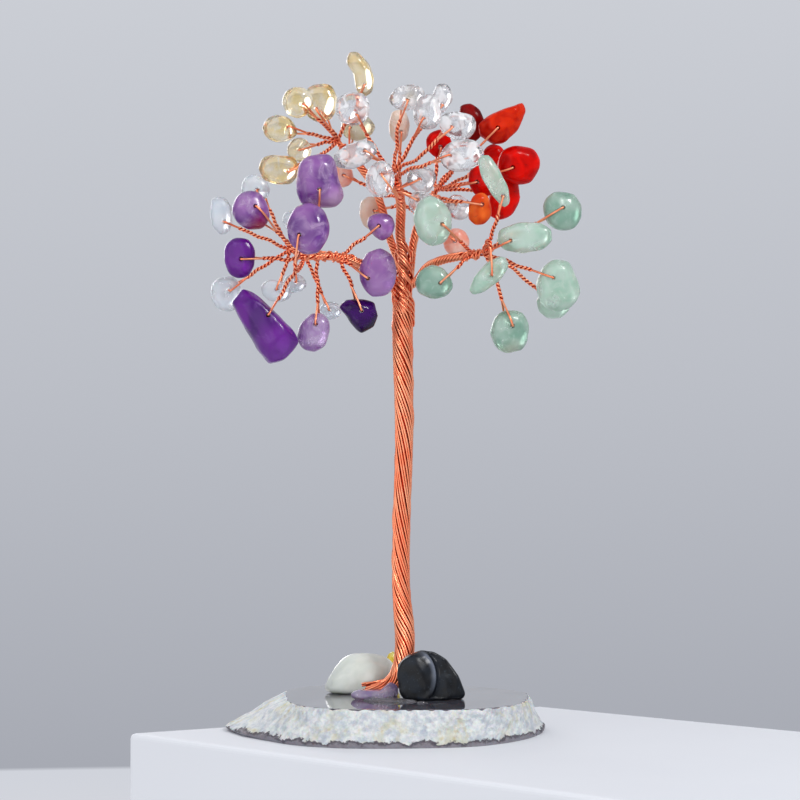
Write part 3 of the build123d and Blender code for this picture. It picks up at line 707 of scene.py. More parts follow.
# Each limb's seat in the trunk's top in degrees, the share of it over which its twigs part, and
# its points as seen from the front: right, back and up in shares of the crown's reach.
LIMB_SHARES = {
    "amethyst": (210, 0.32, (
        (-0.053, -0.058, 0.045), (-0.133, -0.070, 0.095), (-0.238, -0.140, 0.145),
        (-0.346, -0.220, 0.168), (-0.490, -0.280, 0.162),
    )),
    "citrine": (None, 0.10, (
        (-0.018, 0.023, 0.130), (-0.063, 0.058, 0.255), (-0.113, 0.093, 0.440),
        (-0.203, 0.105, 0.605), (-0.323, 0.093, 0.745),
    )),
    "clear_quartz": (270, 0.12, (
        (0.003, -0.047, 0.130), (-0.013, -0.047, 0.280), (-0.013, -0.047, 0.455),
        (-0.053, -0.047, 0.580),
    )),
    "red_jasper": (30, 0.16, (
        (0.038, 0.035, 0.105), (0.048, 0.047, 0.205), (0.078, 0.070, 0.330),
        (0.168, 0.093, 0.500),
    )),
    "green_aventurine": (330, 0.12, (
        (0.058, -0.047, 0.035), (0.113, -0.116, 0.105), (0.213, -0.186, 0.155),
        (0.408, -0.233, 0.185),
    )),
    "aquamarine": (150, 0.10, (
        (-0.053, 0.070, 0.055), (-0.163, 0.140, 0.105), (-0.338, 0.186, 0.165),
        (-0.563, 0.186, 0.205),
    )),
    "pink_quartz": (90, 0.10, (
        (-0.003, 0.093, 0.130), (-0.008, 0.210, 0.305), (-0.013, 0.326, 0.480),
    )),
}


def seen(row):
    """A place by its shares of the crown's reach, seen from the front at its true depth."""
    right, back, up = (CROWN_REACH * share for share in row)
    opening = 1 - back / EYE[1]
    height = EYE[2] + (TRUNK_TOP + up - EYE[2]) * opening
    return np.array((TRUNK_X + right * opening, back, height))


def limb_line(stone):
    """A limb's middle, from its seat in the trunk's top to its tip."""
    seat, _, points = LIMB_SHARES[stone]
    root = np.array((TRUNK_X, 0.0, TRUNK_TOP))
    if seat is not None:
        angle = math.radians(seat)
        ring = TRUNK_RADIUS - LIMB_SEAT
        root = root + ring * np.array((math.cos(angle), math.sin(angle), 0.0))
    places = [root] + [seen(row) for row in points]
    return smooth_line(places, UP, unit(places[-1] - places[-2]), LIMB_STEP)


def trunk_line():
    """The trunk's middle and its radius at each place, from the cut foot to the top."""
    places, radii = [], []
    for right, back, up, girth in FOOT_SHARES:
        places.append((TRUNK_X + right * FOOT_REACH, back * FOOT_REACH, SLICE_TOP + up * FOOT_REACH))
        radii.append(girth * TRUNK_RADIUS)
    for up, right, back, girth in STEM_SHARES:
        x, y = TRUNK_X + right * TRUNK_RADIUS, back * TRUNK_RADIUS
        places.append((x, y, SLICE_TOP + up * TRUNK_RISE))
        radii.append(girth * TRUNK_RADIUS)
    places = np.array(places)
    line = smooth_line(places, unit(places[1] - places[0]), UP, TRUNK_STEP)
    marks = lengths_along(places)
    gone = lengths_along(line)
    return line, np.interp(gone / gone[-1], marks / marks[-1], radii)


def uneven(seed, count, size, wave):
    """A slow wander that belongs to one strand, in millimetres."""
    return np.array(
        [size * noise.noise(Vector((k / wave, seed * 7.31, 3.7))) for k in range(count)]
    )


def trunk_wires(copper, shaded_core):
    """The trunk's outer strands over a dark core, splayed where they are cut at the foot."""
    line, radii = trunk_line()
    gone = lengths_along(line)
    share = gone / gone[-1]
    marks, turn_shares = zip(*TURN_SHARES)
    turns = relaxed(np.interp(share, marks, turn_shares) * TRUNK_TURNS, TURN_EASING)
    tuck = 1 - TOP_TUCK * np.clip((share - 1 + TUCK_LENGTH) / TUCK_LENGTH, 0, 1) ** 2
    work = Wirework()
    for k in range(TRUNK_STRANDS):
        splay = 1 + FOOT_SPLAY * math.sin(k * 1.7) * np.clip(1 - share / SPLAY_LENGTH, 0, 1)
        reach = (radii - STRAND) * tuck * splay + uneven(k, len(line), *TRUNK_WANDER)
        start = start_angle(k, TRUNK_STRANDS, stray=0.12, beat=2.4)
        cut = int(FOOT_CUTS * (0.5 + 0.5 * math.sin(k * 5.3)))
        work.wind(line, FRONT, reach, start, turns, cut)
    cross_strands(work, line, radii, turns)
    crotch_strands(work)
    cut_stub(work)
    strands = work.piece("trunk_strands", copper)
    middle = Wirework()
    middle.lay(line[2:], radii[2:] - TRUNK_CORE * STRAND, sides=20)
    heart = middle.piece("trunk_heart", shaded_core)
    for piece in (strands, heart):
        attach(piece, "tree")
    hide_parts("trunk_wires")


def cross_strands(work, line, radii, turns):
    """Single strands that come up between the others, cross them and go in again."""
    steps = np.arange(len(line))
    for k in range(CROSS_STRANDS):
        first = CROSS_FIRST + CROSS_APART * k
        last = first + CROSS_RUN
        rise = np.clip((steps - first) / CROSS_RISE, 0, 1)
        fall = np.clip((last - steps) / CROSS_RISE, 0, 1)
        reach = radii - CROSS_DEPTH * STRAND + CROSS_LIFT * STRAND * rise * fall
        start = start_angle(k, CROSS_STRANDS) + CROSS_ANGLE
        work.wind(line, FRONT, reach, start, turns * CROSS_TURNS, first, last)


def crotch_strands(work):
    """Strands that run on from the trunk's top round the foot of its middle limb."""
    limb = limb_line("clear_quartz")
    limb = limb[limb[:, 2] < TRUNK_TOP + CROTCH_RISE]
    below = limb[0] + np.outer(np.linspace(-CROTCH_TAIL, -TAIL_GAP, 6), UP)
    line = np.vstack([below, limb])
    share = lengths_along(line) / lengths_along(line)[-1]
    widths = (TRUNK_RADIUS - 3 * STRAND, TRUNK_RADIUS - STRAND, CROTCH_TIP)
    radii = np.interp(share, (0, 0.25, 1), widths)
    for k in range(CROTCH_STRANDS):
        reach = radii + uneven(5 * k, len(line), *CROTCH_WANDER)
        start = start_angle(k, CROTCH_STRANDS, stray=0.3, beat=2.7)
        stop = len(line) - CROTCH_CUTS * (k % 4)
        work.wind(line, FRONT, reach, start, share * CROTCH_TURNS, 0, stop)


def cut_stub(work):
    """A few strands that are cut off short beside the trunk's top."""
    stub = [seen(row) for row in STUB_SHARES]
    line = smooth_line(stub, UP, unit(stub[-1] - stub[-2]), LIMB_STEP)
    turns = lengths_along(line) / LIMB_LAY
    for k in range(STUB_STRANDS):
        start = start_angle(k, STUB_STRANDS)
        work.wind(line, FRONT, STUB_REACH * STRAND, start, turns, 0, len(line) - k)


def limb_strands(work, stone, twigs, shaded_core):
    """A limb: the strands of its twigs laid together, with a binding turn or two at its tip."""
    line = limb_line(stone)
    below = line[0] + np.outer(np.linspace(-LIMB_TAIL, -TAIL_GAP, 20), UP)
    line = np.vstack([below, line])
    gone = lengths_along(line)
    share = np.clip((gone - LIMB_TAIL) / (gone[-1] - LIMB_TAIL), 0, 1)
    full = STRAND * math.sqrt(2 * twigs / PACKING)
    thin = 1 - LIMB_SHARES[stone][1]
    widths = (LIMB_SEAT, full, full * LIMB_WAIST, full * LIMB_TIP)
    radii = np.interp(share, (0, LIMB_SWELL, thin, 1), widths)
    ring = full - STRAND
    slant = math.cos(math.atan(2 * math.pi * ring / LIMB_LAY))
    count = max(3, int(2 * math.pi * ring * slant / (LIMB_SPACING * STRAND)))
    for k in range(count):
        reach = radii - STRAND + uneven(k + len(stone) * 3, len(line), *LIMB_WANDER)
        start = start_angle(k, count, stray=0.15, beat=3.1)
        stop = len(line) - (0 if k % 2 else 6 + 3 * k)
        work.wind(line, LIMB_SIDE, reach, start, gone / LIMB_LAY, 0, stop, LIMB_PAINTED_SHADE)
    shaded_core.lay(line[:-4], np.maximum(radii[:-4] - LIMB_CORE * STRAND, LEAST_CORE), sides=10)
    knot(work, line, radii, thin)


def knot(work, line, radii, thin):
    """The turns that bind a limb where its twigs part: some go round, some cross them."""
    count = len(line)
    for k in range(BIND_TURNS):
        middle = int((thin + (1 - thin) * (BIND_FIRST + BIND_APART * k)) * (count - 1))
        first, last = max(0, middle - BIND_STEPS), min(count, middle + BIND_STEPS + 1)
        bind = line[first:last]
        tilt = np.linspace(0, BIND_ROUND + BIND_MORE * (k % 2), len(bind))
        turns = tilt if k % 2 else -tilt
        reach = radii[first:last] + (BIND_LIFT + BIND_RISE * (k % 3)) * STRAND
        wire = twisted(bind, LIMB_SIDE, reach, BIND_ANGLE * k, turns)
        work.lay(evenly(wire, TWIG_STEP), STRAND)


def collar_strands(work):
    """Strands of the amethyst limb that run down over the front of the trunk's top."""
    limb = limb_line("amethyst")
    ring = TRUNK_RADIUS + STRAND
    for strand in range(COLLAR_STRANDS):
        top = TRUNK_TOP + COLLAR_DROP * COLLAR_ABOVE - strand * COLLAR_SPACING
        leave = limb[int((COLLAR_LEAVE - strand * COLLAR_SOONER) * (len(limb) - 1))]
        turns = []
        for share in np.linspace(0, COLLAR_LENGTH, COLLAR_PLACES):
            angle = math.radians(COLLAR_START + COLLAR_SWEEP * share)
            reach = ring - COLLAR_SINK * max(0, share - 1) * STRAND
            x, y = TRUNK_X + reach * math.cos(angle), reach * math.sin(angle)
            turns.append((x, y, top - COLLAR_DROP * share))
        route = np.vstack([leave, turns])
        work.lay(relaxed(evenly(route, LIMB_STEP), COLLAR_EASING), STRAND)


# Chips and their loops

# Rounds of wear by the square of a chip's middle width, and at most so many.
WEAR = 1.9
WEAR_LIMIT = 170
# Rounds of wear of the chips that keep their points and edges.
WEAR_ROUNDS = {
    "amethyst_chip_5": 48,
    "amethyst_chip_7": 26,
    "red_jasper_chip_2": 26,
    "citrine_chip_6": 40,
}
CHIP_SWING = 10
CHIP_GAP = 0.10
CHIP_CREASE = 50
# The depth and the width of the dents in chips, and the width of those in the foot's stones.
CHIP_DENT = 0.22
CHIP_DENT_WIDTH = 4.2
FOOT_DENT_WIDTH = 4.0
# Corners of a solid that are nearer than this are one.
WELD = 0.002
# The size of the small cubes in which a stone is worn smooth.
GRAIN = 0.26
# The solid's hole has six sides, whose corners lie within this reach; the drill is round.
HOLE_SIDES = 6
HOLE_REACH = 0.53
DRILL_RADIUS = 0.50
DRILL_LENGTH = 40
# A stone's outline is felt by rays at these steps, from this high above its hole's middle.
FEEL_STEPS = 120
FEEL_STEP = 0.15
FEEL_HEIGHT = 20
# How many places along a limb's tip its twigs may start from, in how many places a twig's curve
# is drawn, and where the curve's pole lies in shares of its span.
TWIG_ROOTS = 7
TWIG_PLACES = 60
TWIG_POLE = 0.42
# How far from a chip's edge its two strands fork: at least, by its height, and by its own share.
FORK_GAP = 0.5
FORK_RISE = 0.30
FORK_STEP = 0.25


class Stone:
    """One drilled stone of a node: its skin, its hole and the hole's axis."""

    def __init__(self, shape):
        self.shape = shape
        bmesh.ops.recalc_face_normals(shape, faces=shape.faces)
        bend = 2 * math.pi / HOLE_SIDES
        walls = []
        for edge in shape.edges:
            if len(edge.link_faces) == 2:
                if abs(edge.calc_face_angle_signed() + bend) < 0.02:
                    walls.append(edge)
        ahead = [edge.verts[1].co - edge.verts[0].co for edge in walls]
        self.axis = max(ahead, key=lambda way: way.length).normalized()
        if self.axis.y > 0:
            self.axis = -self.axis
        middle = Vector((0, 0, 0))
        for edge in walls:
            middle += (edge.verts[0].co + edge.verts[1].co) / 2
        self.eye = middle / len(walls)

    def from_axis(self, place):
        away = place - self.eye
        return (away - self.axis * away.dot(self.axis)).length

    def close_hole(self):
        """Takes the hole's walls out and closes the skin over them."""
        walls = []
        for face in self.shape.faces:
            if all(self.from_axis(corner.co) < HOLE_REACH * MM for corner in face.verts):
                walls.append(face)
        bmesh.ops.delete(self.shape, geom=walls, context="FACES")
        rims = [edge for edge in self.shape.edges if edge.is_boundary]
        bmesh.ops.holes_fill(self.shape, edges=rims, sides=0)
        bmesh.ops.triangulate(self.shape, faces=self.shape.faces)


def welded(node):
    shape = bmesh.new()
    shape.from_mesh(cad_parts[node].data)
    bmesh.ops.remove_doubles(shape, verts=shape.verts, dist=WELD * MM)
    return shape


def loose_shapes(shape):
    """The separate closed skins of a mesh, each as a mesh of its own."""
    left = set(shape.faces)
    made = []
    while left:
        reach = [left.pop()]
        group = set(reach)
        while reach:
            face = reach.pop()
            for edge in face.edges:
                for beside in edge.link_faces:
                    if beside in left:
                        left.discard(beside)
                        group.add(beside)
                        reach.append(beside)
        corners = sorted({v for face in group for v in face.verts}, key=lambda v: v.index)
        numbers = {v: k for k, v in enumerate(corners)}
        part = bmesh.new()
        points = [part.verts.new(v.co) for v in corners]
        for face in sorted(group, key=lambda f: f.index):
            part.faces.new([points[numbers[v]] for v in face.verts])
        made.append(part)
    return sorted(made, key=lambda part: tuple(part.verts[:][0].co))


def tumbled(name, shape, rounds, dent_depth, dent_width, seed):
    """A stone's faceted skin worn smooth, with the shallow dents of a tumbled chip."""
    box = corners_of(shape.verts)
    rough = linked(name, meshed(name, shape))
    remesh = rough.modifiers.new("grain", "REMESH")
    remesh.mode = "VOXEL"
    remesh.voxel_size = GRAIN * MM
    wear = rough.modifiers.new("wear", "SMOOTH")
    wear.factor = 0.5
    wear.iterations = rounds
    ready = bpy.context.evaluated_depsgraph_get()
    worn = bpy.data.meshes.new_from_object(rough.evaluated_get(ready))
    bpy.data.objects.remove(rough)
    normals = [v.normal.copy() for v in worn.vertices]
    shift = Vector((seed * 3.17, seed * 1.31, seed * 2.23))
    for v, normal in zip(worn.vertices, normals):
        place = v.co / (dent_width * MM) + shift
        dent = noise.noise(place) + 0.5 * noise.noise(place * 2.1)
        v.co += normal * dent * dent_depth * MM
    fit_box(worn, box)
    worn.name = name
    return worn


def corners_of(places):
    """The low and the high corner of the box round a mesh's places."""
    spots = np.array([place.co for place in places])
    return spots.min(axis=0), spots.max(axis=0)


def fit_box(mesh, box):
    """Stretches a worn stone back to the box that it had before its wear."""
    low, high = corners_of(mesh.vertices)
    for v in mesh.vertices:
        share = (np.array(v.co) - low) / (high - low)
        v.co = box[0] + share * (box[1] - box[0])


def drill(stone):
    """The drill's shape: a round bar along the hole."""
    turned = stone.axis.to_track_quat("Z", "Y").to_matrix().to_4x4()
    shape = bmesh.new()
    bmesh.ops.create_cone(
        shape,
        cap_ends=True,
        segments=20,
        radius1=DRILL_RADIUS * MM,
        radius2=DRILL_RADIUS * MM,
        depth=DRILL_LENGTH * MM,
        matrix=Matrix.Translation(stone.eye) @ turned,
    )
    return linked("drill", meshed("drill", shape))


def drilled_piece(name, stone, worn, material):
    """The worn stone with its hole cut through it."""
    whole = linked(name + "_uncut", worn)
    bar = drill(stone)
    cut = whole.modifiers.new("hole", "BOOLEAN")
    cut.operation = "DIFFERENCE"
    cut.solver = "EXACT"
    cut.object = bar
    ready = bpy.context.evaluated_depsgraph_get()
    mesh = bpy.data.meshes.new_from_object(whole.evaluated_get(ready))
    mesh.name = name
    bpy.data.objects.remove(whole)
    bpy.data.objects.remove(bar)
    mesh.shade_smooth()
    mesh.set_sharp_from_angle(angle=math.radians(CHIP_CREASE))
    mesh.materials.clear()
    mesh.materials.append(material)
    return linked(name, mesh)


def upper_hull(points):
    """The taut line over points that run from left to right."""
    hull = []
    for x, y in points:
        while len(hull) > 1:
            (ax, ay), (bx, by) = hull[-2:]
            if (bx - ax) * (y - ay) - (by - ay) * (x - ax) < 0:
                break
            hull.pop()
        hull.append((x, y))
    return hull


def heights_over(stone, skin, way, side):
    """How high the stone stands over its hole's middle along one way, over its swing."""
    lift = STRAND + CHIP_GAP
    axis = stone.axis * side
    profile = []
    for step in range(FEEL_STEPS):
        distance = step * FEEL_STEP
        height = None
        for angle in (-CHIP_SWING, -CHIP_SWING / 2, 0, CHIP_SWING / 2, CHIP_SWING):
            turned = Matrix.Rotation(math.radians(angle), 3, stone.axis) @ way
            for beside in (-STRAND, 0, STRAND):
                place = turned * distance + turned.cross(stone.axis) * beside
                above = stone.eye + place * MM + axis * FEEL_HEIGHT * MM
                hit = skin.ray_cast(above, -axis)[0]
                if hit is not None:
                    found = (hit - stone.eye).dot(axis) / MM
                    height = found if height is None else max(height, found)
        if height is None:
            break
        profile.append((distance, height + lift))
    return profile


def bowed(line, seed):
    """A twig with the slight bends that fingers leave in it, its ends kept."""
    count = len(line)
    ease = np.sin(np.linspace(0, math.pi, count))[:, None]
    sway = [uneven(seed + 11 * k, count, *TWIG_WANDER) for k in range(3)]
    return line + np.column_stack(sway) * ease


def chip_wire(work, stone, skin, roots, seed):
    """The one strand that comes up a twig, runs through its chip and twists back down."""
    eye = np.array(stone.eye) / MM
    axis = np.array(stone.axis)
    root = min(roots, key=lambda place: np.linalg.norm(place - eye))
    for _ in range(2):
        pull = Vector(root * MM) - stone.eye
        way = (pull - stone.axis * pull.dot(stone.axis)).normalized()
        top = heights_over(stone, skin, way, 1)
        bottom = heights_over(stone, skin, way, -1)
        edge = max(top[-1][0], bottom[-1][0]) + STRAND + CHIP_GAP
        half = max(h for _, h in top + bottom)
        fork_at = edge + FORK_GAP + FORK_RISE * half + FORK_STEP * (seed % 4)
        fork = eye + np.array(way) * fork_at
        root = min(roots, key=lambda place: np.linalg.norm(place - fork))
    legs = []
    for profile, side in ((top, 1), (bottom, -1)):
        last = profile[-1]
        outline = profile + [(last[0] + STRAND + CHIP_GAP, max(0.3, last[1] * 0.5))]
        hull = upper_hull(outline + [(fork_at, STRAND)])
        legs.append(np.array([np.array(way) * d + axis * side * h for d, h in hull]) + eye)
    loop = relaxed(evenly(np.vstack([legs[0][::-1], [eye], legs[1]]), TWIG_STEP), 4)
    pole = fork + unit(fork - eye) * np.linalg.norm(root - fork) * TWIG_POLE
    shares = np.linspace(0, 1, TWIG_PLACES)[:, None]
    twig = fork * (1 - shares) ** 2 + 2 * pole * (1 - shares) * shares + root * shares**2
    twig = bowed(evenly(twig, TWIG_STEP), seed)
    turns = lengths_along(twig) / PAIR_LAY
    up_strand = twisted(twig, axis, STRAND, 0, turns)
    down_strand = twisted(twig, axis, STRAND, math.pi, turns)
    middle = np.vstack([twig[:0:-1], loop, twig[1:]])
    whole = np.vstack([up_strand[:0:-1], loop, down_strand[1:]])
    work.lay(whole, STRAND, middle, hollow=PAIR_PAINTED_SHADE)


def branch(stone_name, finishes, copper, shaded_core):
    """A branch's wires and its chips, each chip with its own finish where it has one."""
    line = limb_line(stone_name)
    stretch = LIMB_SHARES[stone_name][1]
    last = TWIG_ROOTS - 1
    roots = [line[int((1 - stretch * k / last) * (len(line) - 1))] for k in range(TWIG_ROOTS)]
    chips = []
    for node in sorted(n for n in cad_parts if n.startswith(stone_name + "_chip")):
        shapes = loose_shapes(welded(node))
        for number, shape in enumerate(shapes, start=1):
            chips.append((node, shape, f"_{number}" if len(shapes) > 1 else ""))
    work, middle = Wirework(), Wirework()
    limb_strands(work, stone_name, len(chips), middle)
    if stone_name == "amethyst":
        collar_strands(work)
    for node, shape, number in chips:
        stone = Stone(shape)
        stone.close_hole()
        name = node + "_stone" + number
        seed = len(name) + sum(ord(letter) for letter in name) % 97
        low, high = corners_of(shape.verts)
        girth = sorted(high - low)[1] / MM
        rounds = WEAR_ROUNDS.get(node, int(min(WEAR_LIMIT, WEAR * girth**2)))
        worn = tumbled(name, shape, rounds, CHIP_DENT, CHIP_DENT_WIDTH, seed)
        corners = [v.co for v in worn.vertices]
        skin = BVHTree.FromPolygons(corners, [tuple(p.vertices) for p in worn.polygons])
        chip_wire(work, stone, skin, roots, seed)
        piece = drilled_piece(name, stone, worn, finishes.get(node + number, finishes["all"]))
        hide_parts(node)
        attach(piece, "tree" if number else node)
    wires = work.piece(stone_name + "_wires", copper)
    heart = middle.piece(stone_name + "_limb_heart", shaded_core)
    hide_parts(stone_name + "_branch")
    for piece in (wires, heart):
        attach(piece, "tree")


def amethysts():
    night = ((22, 0, 46), (62, 0, 100), (96, 30, 142))
    mist = ((158, 108, 184), (192, 156, 208), (222, 204, 232))
    shoulder = ((190, 150, 192), "amethyst_chip_1", 0.6, -0.7, 4.5)
    wine = ((158, 0, 36), "amethyst_chip_3", 0.3, -0.7, 3.8)
    tip = ((120, 52, 160), "amethyst_chip_5", 0.4, -0.9, 9.0)
    light = ((180, 134, 200), "amethyst_chip_8", 0.2, -0.8, 5.5)
    return {
        "all": violet("amethyst"),
        "amethyst_chip_1": violet("amethyst_shouldered", shoulder),
        "amethyst_chip_3": violet("amethyst_wine", wine),
        "amethyst_chip_4": dusk("amethyst_deep"),
        "amethyst_chip_5": dusk("amethyst_wedge", tip),
        "amethyst_chip_6": gem("amethyst_pale", mist, 3.0, 0.40),
        "amethyst_chip_7": gem("amethyst_night", night, 3.0, 0.12, cover=(0.60, 0.80), gloss=0.5),
        "amethyst_chip_8": violet("amethyst_light", light),
    }


def citrines():
    lemon = ((253, 218, 132), (255, 246, 222), (255, 252, 244))
    honey = ((253, 220, 146), (255, 245, 218), (255, 251, 242))
    faint = ((226, 216, 178), (236, 230, 204), (244, 242, 230))
    return {
        "all": gem("citrine", lemon, 2.6, 0.86, cover=(0.44, 0.62), rough=0.08),
        "citrine_chip_1": gem("citrine_honey", honey, 2.6, 0.80, cover=(0.46, 0.64), rough=0.08),
        "citrine_chip_7": gem("citrine_faint", faint, 3.0, 0.60),
    }


def quartzes():
    yellow = ((250, 214, 110), "clear_quartz_chip_4", 0.1, 0.1, 2.6)
    return {
        "all": rock_crystal("clear_quartz"),
        "clear_quartz_chip_4": rock_crystal("quartz_with_yellow", yellow),
    }


def jaspers():
    return {
        "all": red_jasper("red_jasper", (176, 2, 1), (234, 14, 4)),
        "red_jasper_chip_1": red_jasper("jasper_dark", (58, 2, 4), (136, 8, 8)),
        "red_jasper_chip_2": red_jasper("jasper_flame", (172, 6, 1), (220, 44, 8)),
        "red_jasper_chip_8": red_jasper("jasper_orange", (214, 60, 20), (246, 112, 44)),
    }


def aventurines():
    mint = ((188, 222, 202), (214, 236, 222), (236, 246, 239))
    speck = ((196, 200, 176), "green_aventurine_chip_9", 0.0, -0.6, 3.4)
    return {
        "all": gem("green_aventurine", mint, 2.6, 0.5, cover=(0.44, 0.68)),
        "green_aventurine_chip_4": moss("aventurine_moss"),
        "green_aventurine_chip_5": moss("aventurine_leaf"),
        "green_aventurine_chip_9": moss("aventurine_speckled", speck),
    }


def aquamarines():
    sea = ((232, 242, 254), (242, 248, 254), (252, 253, 255))
    return {"all": gem("aquamarine", sea, 2.6, 0.5)}


def pinks():
    coral = ((255, 156, 132), (255, 182, 162), (255, 214, 202))
    pale = ((252, 212, 186), (254, 228, 210), (255, 242, 234))
    peach = gem("peach_quartz", pale, 2.4, 0.15)
    return {
        "all": gem("pink_quartz", coral, 2.4, 0.0),
        "pink_quartz_chips_2": peach,
        "pink_quartz_chips_3": peach,
    }


def crown(copper, shaded_core):
    """The seven branches and their stones."""
    makers = (amethysts, citrines, quartzes, jaspers, aventurines, aquamarines, pinks)
    for name, finishes in zip(LIMB_SHARES, makers):
        branch(name, finishes(), copper, shaded_core)


# The foot

# The slice's rim and the edge of its polished top, right and back in shares of its half sizes.
SLICE_HALF = (34.6, 28.5)
SLICE_SHARES = (
    ((1.00, 0.06), (0.89, 0.10)), ((0.93, 0.36), (0.80, 0.34)),
    ((0.76, 0.64), (0.64, 0.56)), ((0.48, 0.84), (0.40, 0.72)),
    ((0.12, 0.94), (0.10, 0.78)), ((-0.26, 0.93), (-0.20, 0.78)),
    ((-0.60, 0.80), (-0.45, 0.66)), ((-0.86, 0.52), (-0.60, 0.44)),
    ((-1.00, 0.10), (-0.63, 0.16)), ((-0.93, -0.26), (-0.61, -0.20)),
    ((-0.74, -0.62), (-0.58, -0.50)), ((-0.50, -0.94), (-0.45, -0.82)),
    ((-0.18, -1.09), (-0.16, -0.98)), ((0.20, -1.07), (0.22, -1.00)),
    ((0.52, -0.98), (0.55, -0.95)), ((0.76, -0.72), (0.78, -0.70)),
    ((0.93, -0.36), (0.87, -0.34)),
)
# From the underside up: height share, share of the way in from rim to top, and roughness.
SLICE_LEVEL_SHARES = (
    (0.00, 0.10, 0.1), (0.06, 0.03, 0.4), (0.13, 0.01, 0.7), (0.22, 0.10, 1.0),
    (0.33, 0.23, 1.0), (0.45, 0.38, 1.0), (0.57, 0.50, 1.0), (0.69, 0.61, 1.0),
    (0.80, 0.72, 0.9), (0.89, 0.84, 0.7), (0.96, 0.94, 0.6), (1.00, 1.00, 0.5),
)
SLICE_STEPS = 420
SLICE_CREASE = 35
# The rim's grain: the widths of its lumps, and how far they push it in or lift it.
BROAD_LUMP = 3.1
FINE_LUMP = 1.2
LUMP_PUSH = 0.60
LUMP_SINK = 0.45
RIPPLE_WIDTH = 1.7
RIPPLE_LIFT = 0.30
EDGE_CHIP_WIDTH = 1.5
EDGE_CHIP_DEPTH = 1.3
# Rings of the polished top, in shares of its edge's reach.
TOP_RING_SHARES = (0.985, 0.95, 0.85, 0.6, 0.3)
# The black stone's round face: its middle and half sizes, right and up, and the step round it,
# which falls off and comes back over these shares of the half sizes.
FACE_MIDDLE = (6.6, 12.6)
FACE_HALF = (4.0, 5.4)
FACE_STEP = 0.8
FACE_FALL = ((0.78, 0.96, 1.05, 1.10, 1.20, 1.32, 2.2), (0.0, -0.22, -0.05, 0.3, 1.15, 1.3, 0.0))
# How bright the painted highlight along the face's edge is over the same shares.
FACE_HIGHLIGHT = ((0.78, 0.94, 1.01, 1.08), (0.0, 0.70, 0.95, 0.0))
# The stones at the foot: node, piece, slot, rounds of wear and the depth of their dents.
FOOT_STONES = (
    ("white_tumbled_stone", "white_stone_worn", "white_stone", 60, 0.15),
    ("black_tumbled_stone", "black_stone_worn", "black_stone", 22, 0.16),
    ("amethyst_foot_stone", "amethyst_foot_worn", "amethyst", 16, 0.25),
    ("citrine_foot_chip", "citrine_foot_worn", "citrine", 12, 0.20),
)
# The amethyst foot stone's top dips where the wires lie behind it: right, and the height there.
FOOT_STONE_DIP = ((-6.6, -4.9, -0.9, 1.2), (11.4, 9.5, 9.6, 11.4))
# Where drops of glue show on the slice in the view from the front, and their half widths.
GLUE_BEADS = (
    (403, 698.0, 0.6), (411, 701.5, 1.3), (421, 703.0, 0.9), (426, 703.0, 0.45),
    (358, 698.5, 0.8), (371, 699.5, 1.5), (386, 699.5, 0.7), (338, 692.5, 1.2),
)
BEAD_HEIGHT = 0.45
BEAD_DEPTH = 0.5


def level_place(u, v, height):
    """The place at a height that shows at a point of the view from the front."""
    reach = (EYE[2] - height) * FOCUS / (v - VIEW_MIDDLE)
    return (EYE[0] + (u - VIEW_MIDDLE) * reach / FOCUS, EYE[1] + reach)


def closed_curve(points, steps):
    """Places on a smooth closed curve through points."""
    places = np.array(points, float)
    count = len(places)
    curve = []
    for step in range(steps):
        share = step * count / steps
        k = int(share)
        t = share - k
        a, b, c, d = (places[(k + j) % count] for j in (-1, 0, 1, 2))
        square = (2 * a - 5 * b + 4 * c - d) * t**2
        cube = (3 * b - a - 3 * c + d) * t**3
        curve.append(0.5 * (2 * b + (c - a) * t + square + cube))
    return np.array(curve)


def rim_place(rim, top, height, inward, rough):
    """A place on the slice's rim: how high, how far in towards the top's edge, how rough."""
    x, y = rim + (top - rim) * inward
    z = height * SLICE_TOP
    place = Vector((x, y, z))
    lump = noise.noise(place / BROAD_LUMP) + 0.6 * noise.noise(place / FINE_LUMP)
    away = unit(rim)
    push = min(0, rough * (LUMP_PUSH * lump - LUMP_SINK))
    x, y = x + away[0] * push, y + away[1] * push
    if 0 < height < 1:
        z += rough * RIPPLE_LIFT * noise.noise(place / RIPPLE_WIDTH + Vector((9, 4, 2)))
    if height > 0.9:
        chipped = max(0, noise.noise(place / EDGE_CHIP_WIDTH + Vector((2, 7, 5))))
        z -= rough * EDGE_CHIP_DEPTH * chipped
    return (x * MM, y * MM, z * MM)


def ringed(shape, near, far, finish=0):
    """Faces between two rings of corners."""
    for k in range(len(near)):
        face = shape.faces.new((near[k - 1], near[k], far[k], far[k - 1]))
        face.material_index = finish


def agate_slice(polish, crust):
    """The slice: a rough crystalline rim that slopes out from the polished top's edge."""
    half = np.array(SLICE_HALF)
    rim = closed_curve([row[0] for row in SLICE_SHARES], SLICE_STEPS) * half
    top = closed_curve([row[1] for row in SLICE_SHARES], SLICE_STEPS) * half
    low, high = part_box("agate_slice")
    shape = bmesh.new()
    rings = []
    for level in SLICE_LEVEL_SHARES:
        places = [rim_place(rim[k], top[k], *level) for k in range(SLICE_STEPS)]
        rings.append([shape.verts.new(np.clip(place, low, high)) for place in places])
    for near, far in zip(rings, rings[1:]):
        ringed(shape, near, far)
    shape.faces.new(rings[0][::-1])
    inner = rings[-1]
    for share in TOP_RING_SHARES:
        places = [(x * MM, y * MM, SLICE_TOP * MM) for x, y in top * share]
        ring = [shape.verts.new(place) for place in places]
        ringed(shape, inner, ring, 1)
        inner = ring
    shape.faces.new(inner).material_index = 1
    mesh = meshed("agate_slice_stone", shape)
    mesh.shade_smooth()
    mesh.set_sharp_from_angle(angle=math.radians(SLICE_CREASE))
    mesh.materials.append(crust)
    mesh.materials.append(polish)
    piece = linked("agate_slice_stone", mesh)
    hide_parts("agate_slice")
    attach(piece, "tree")


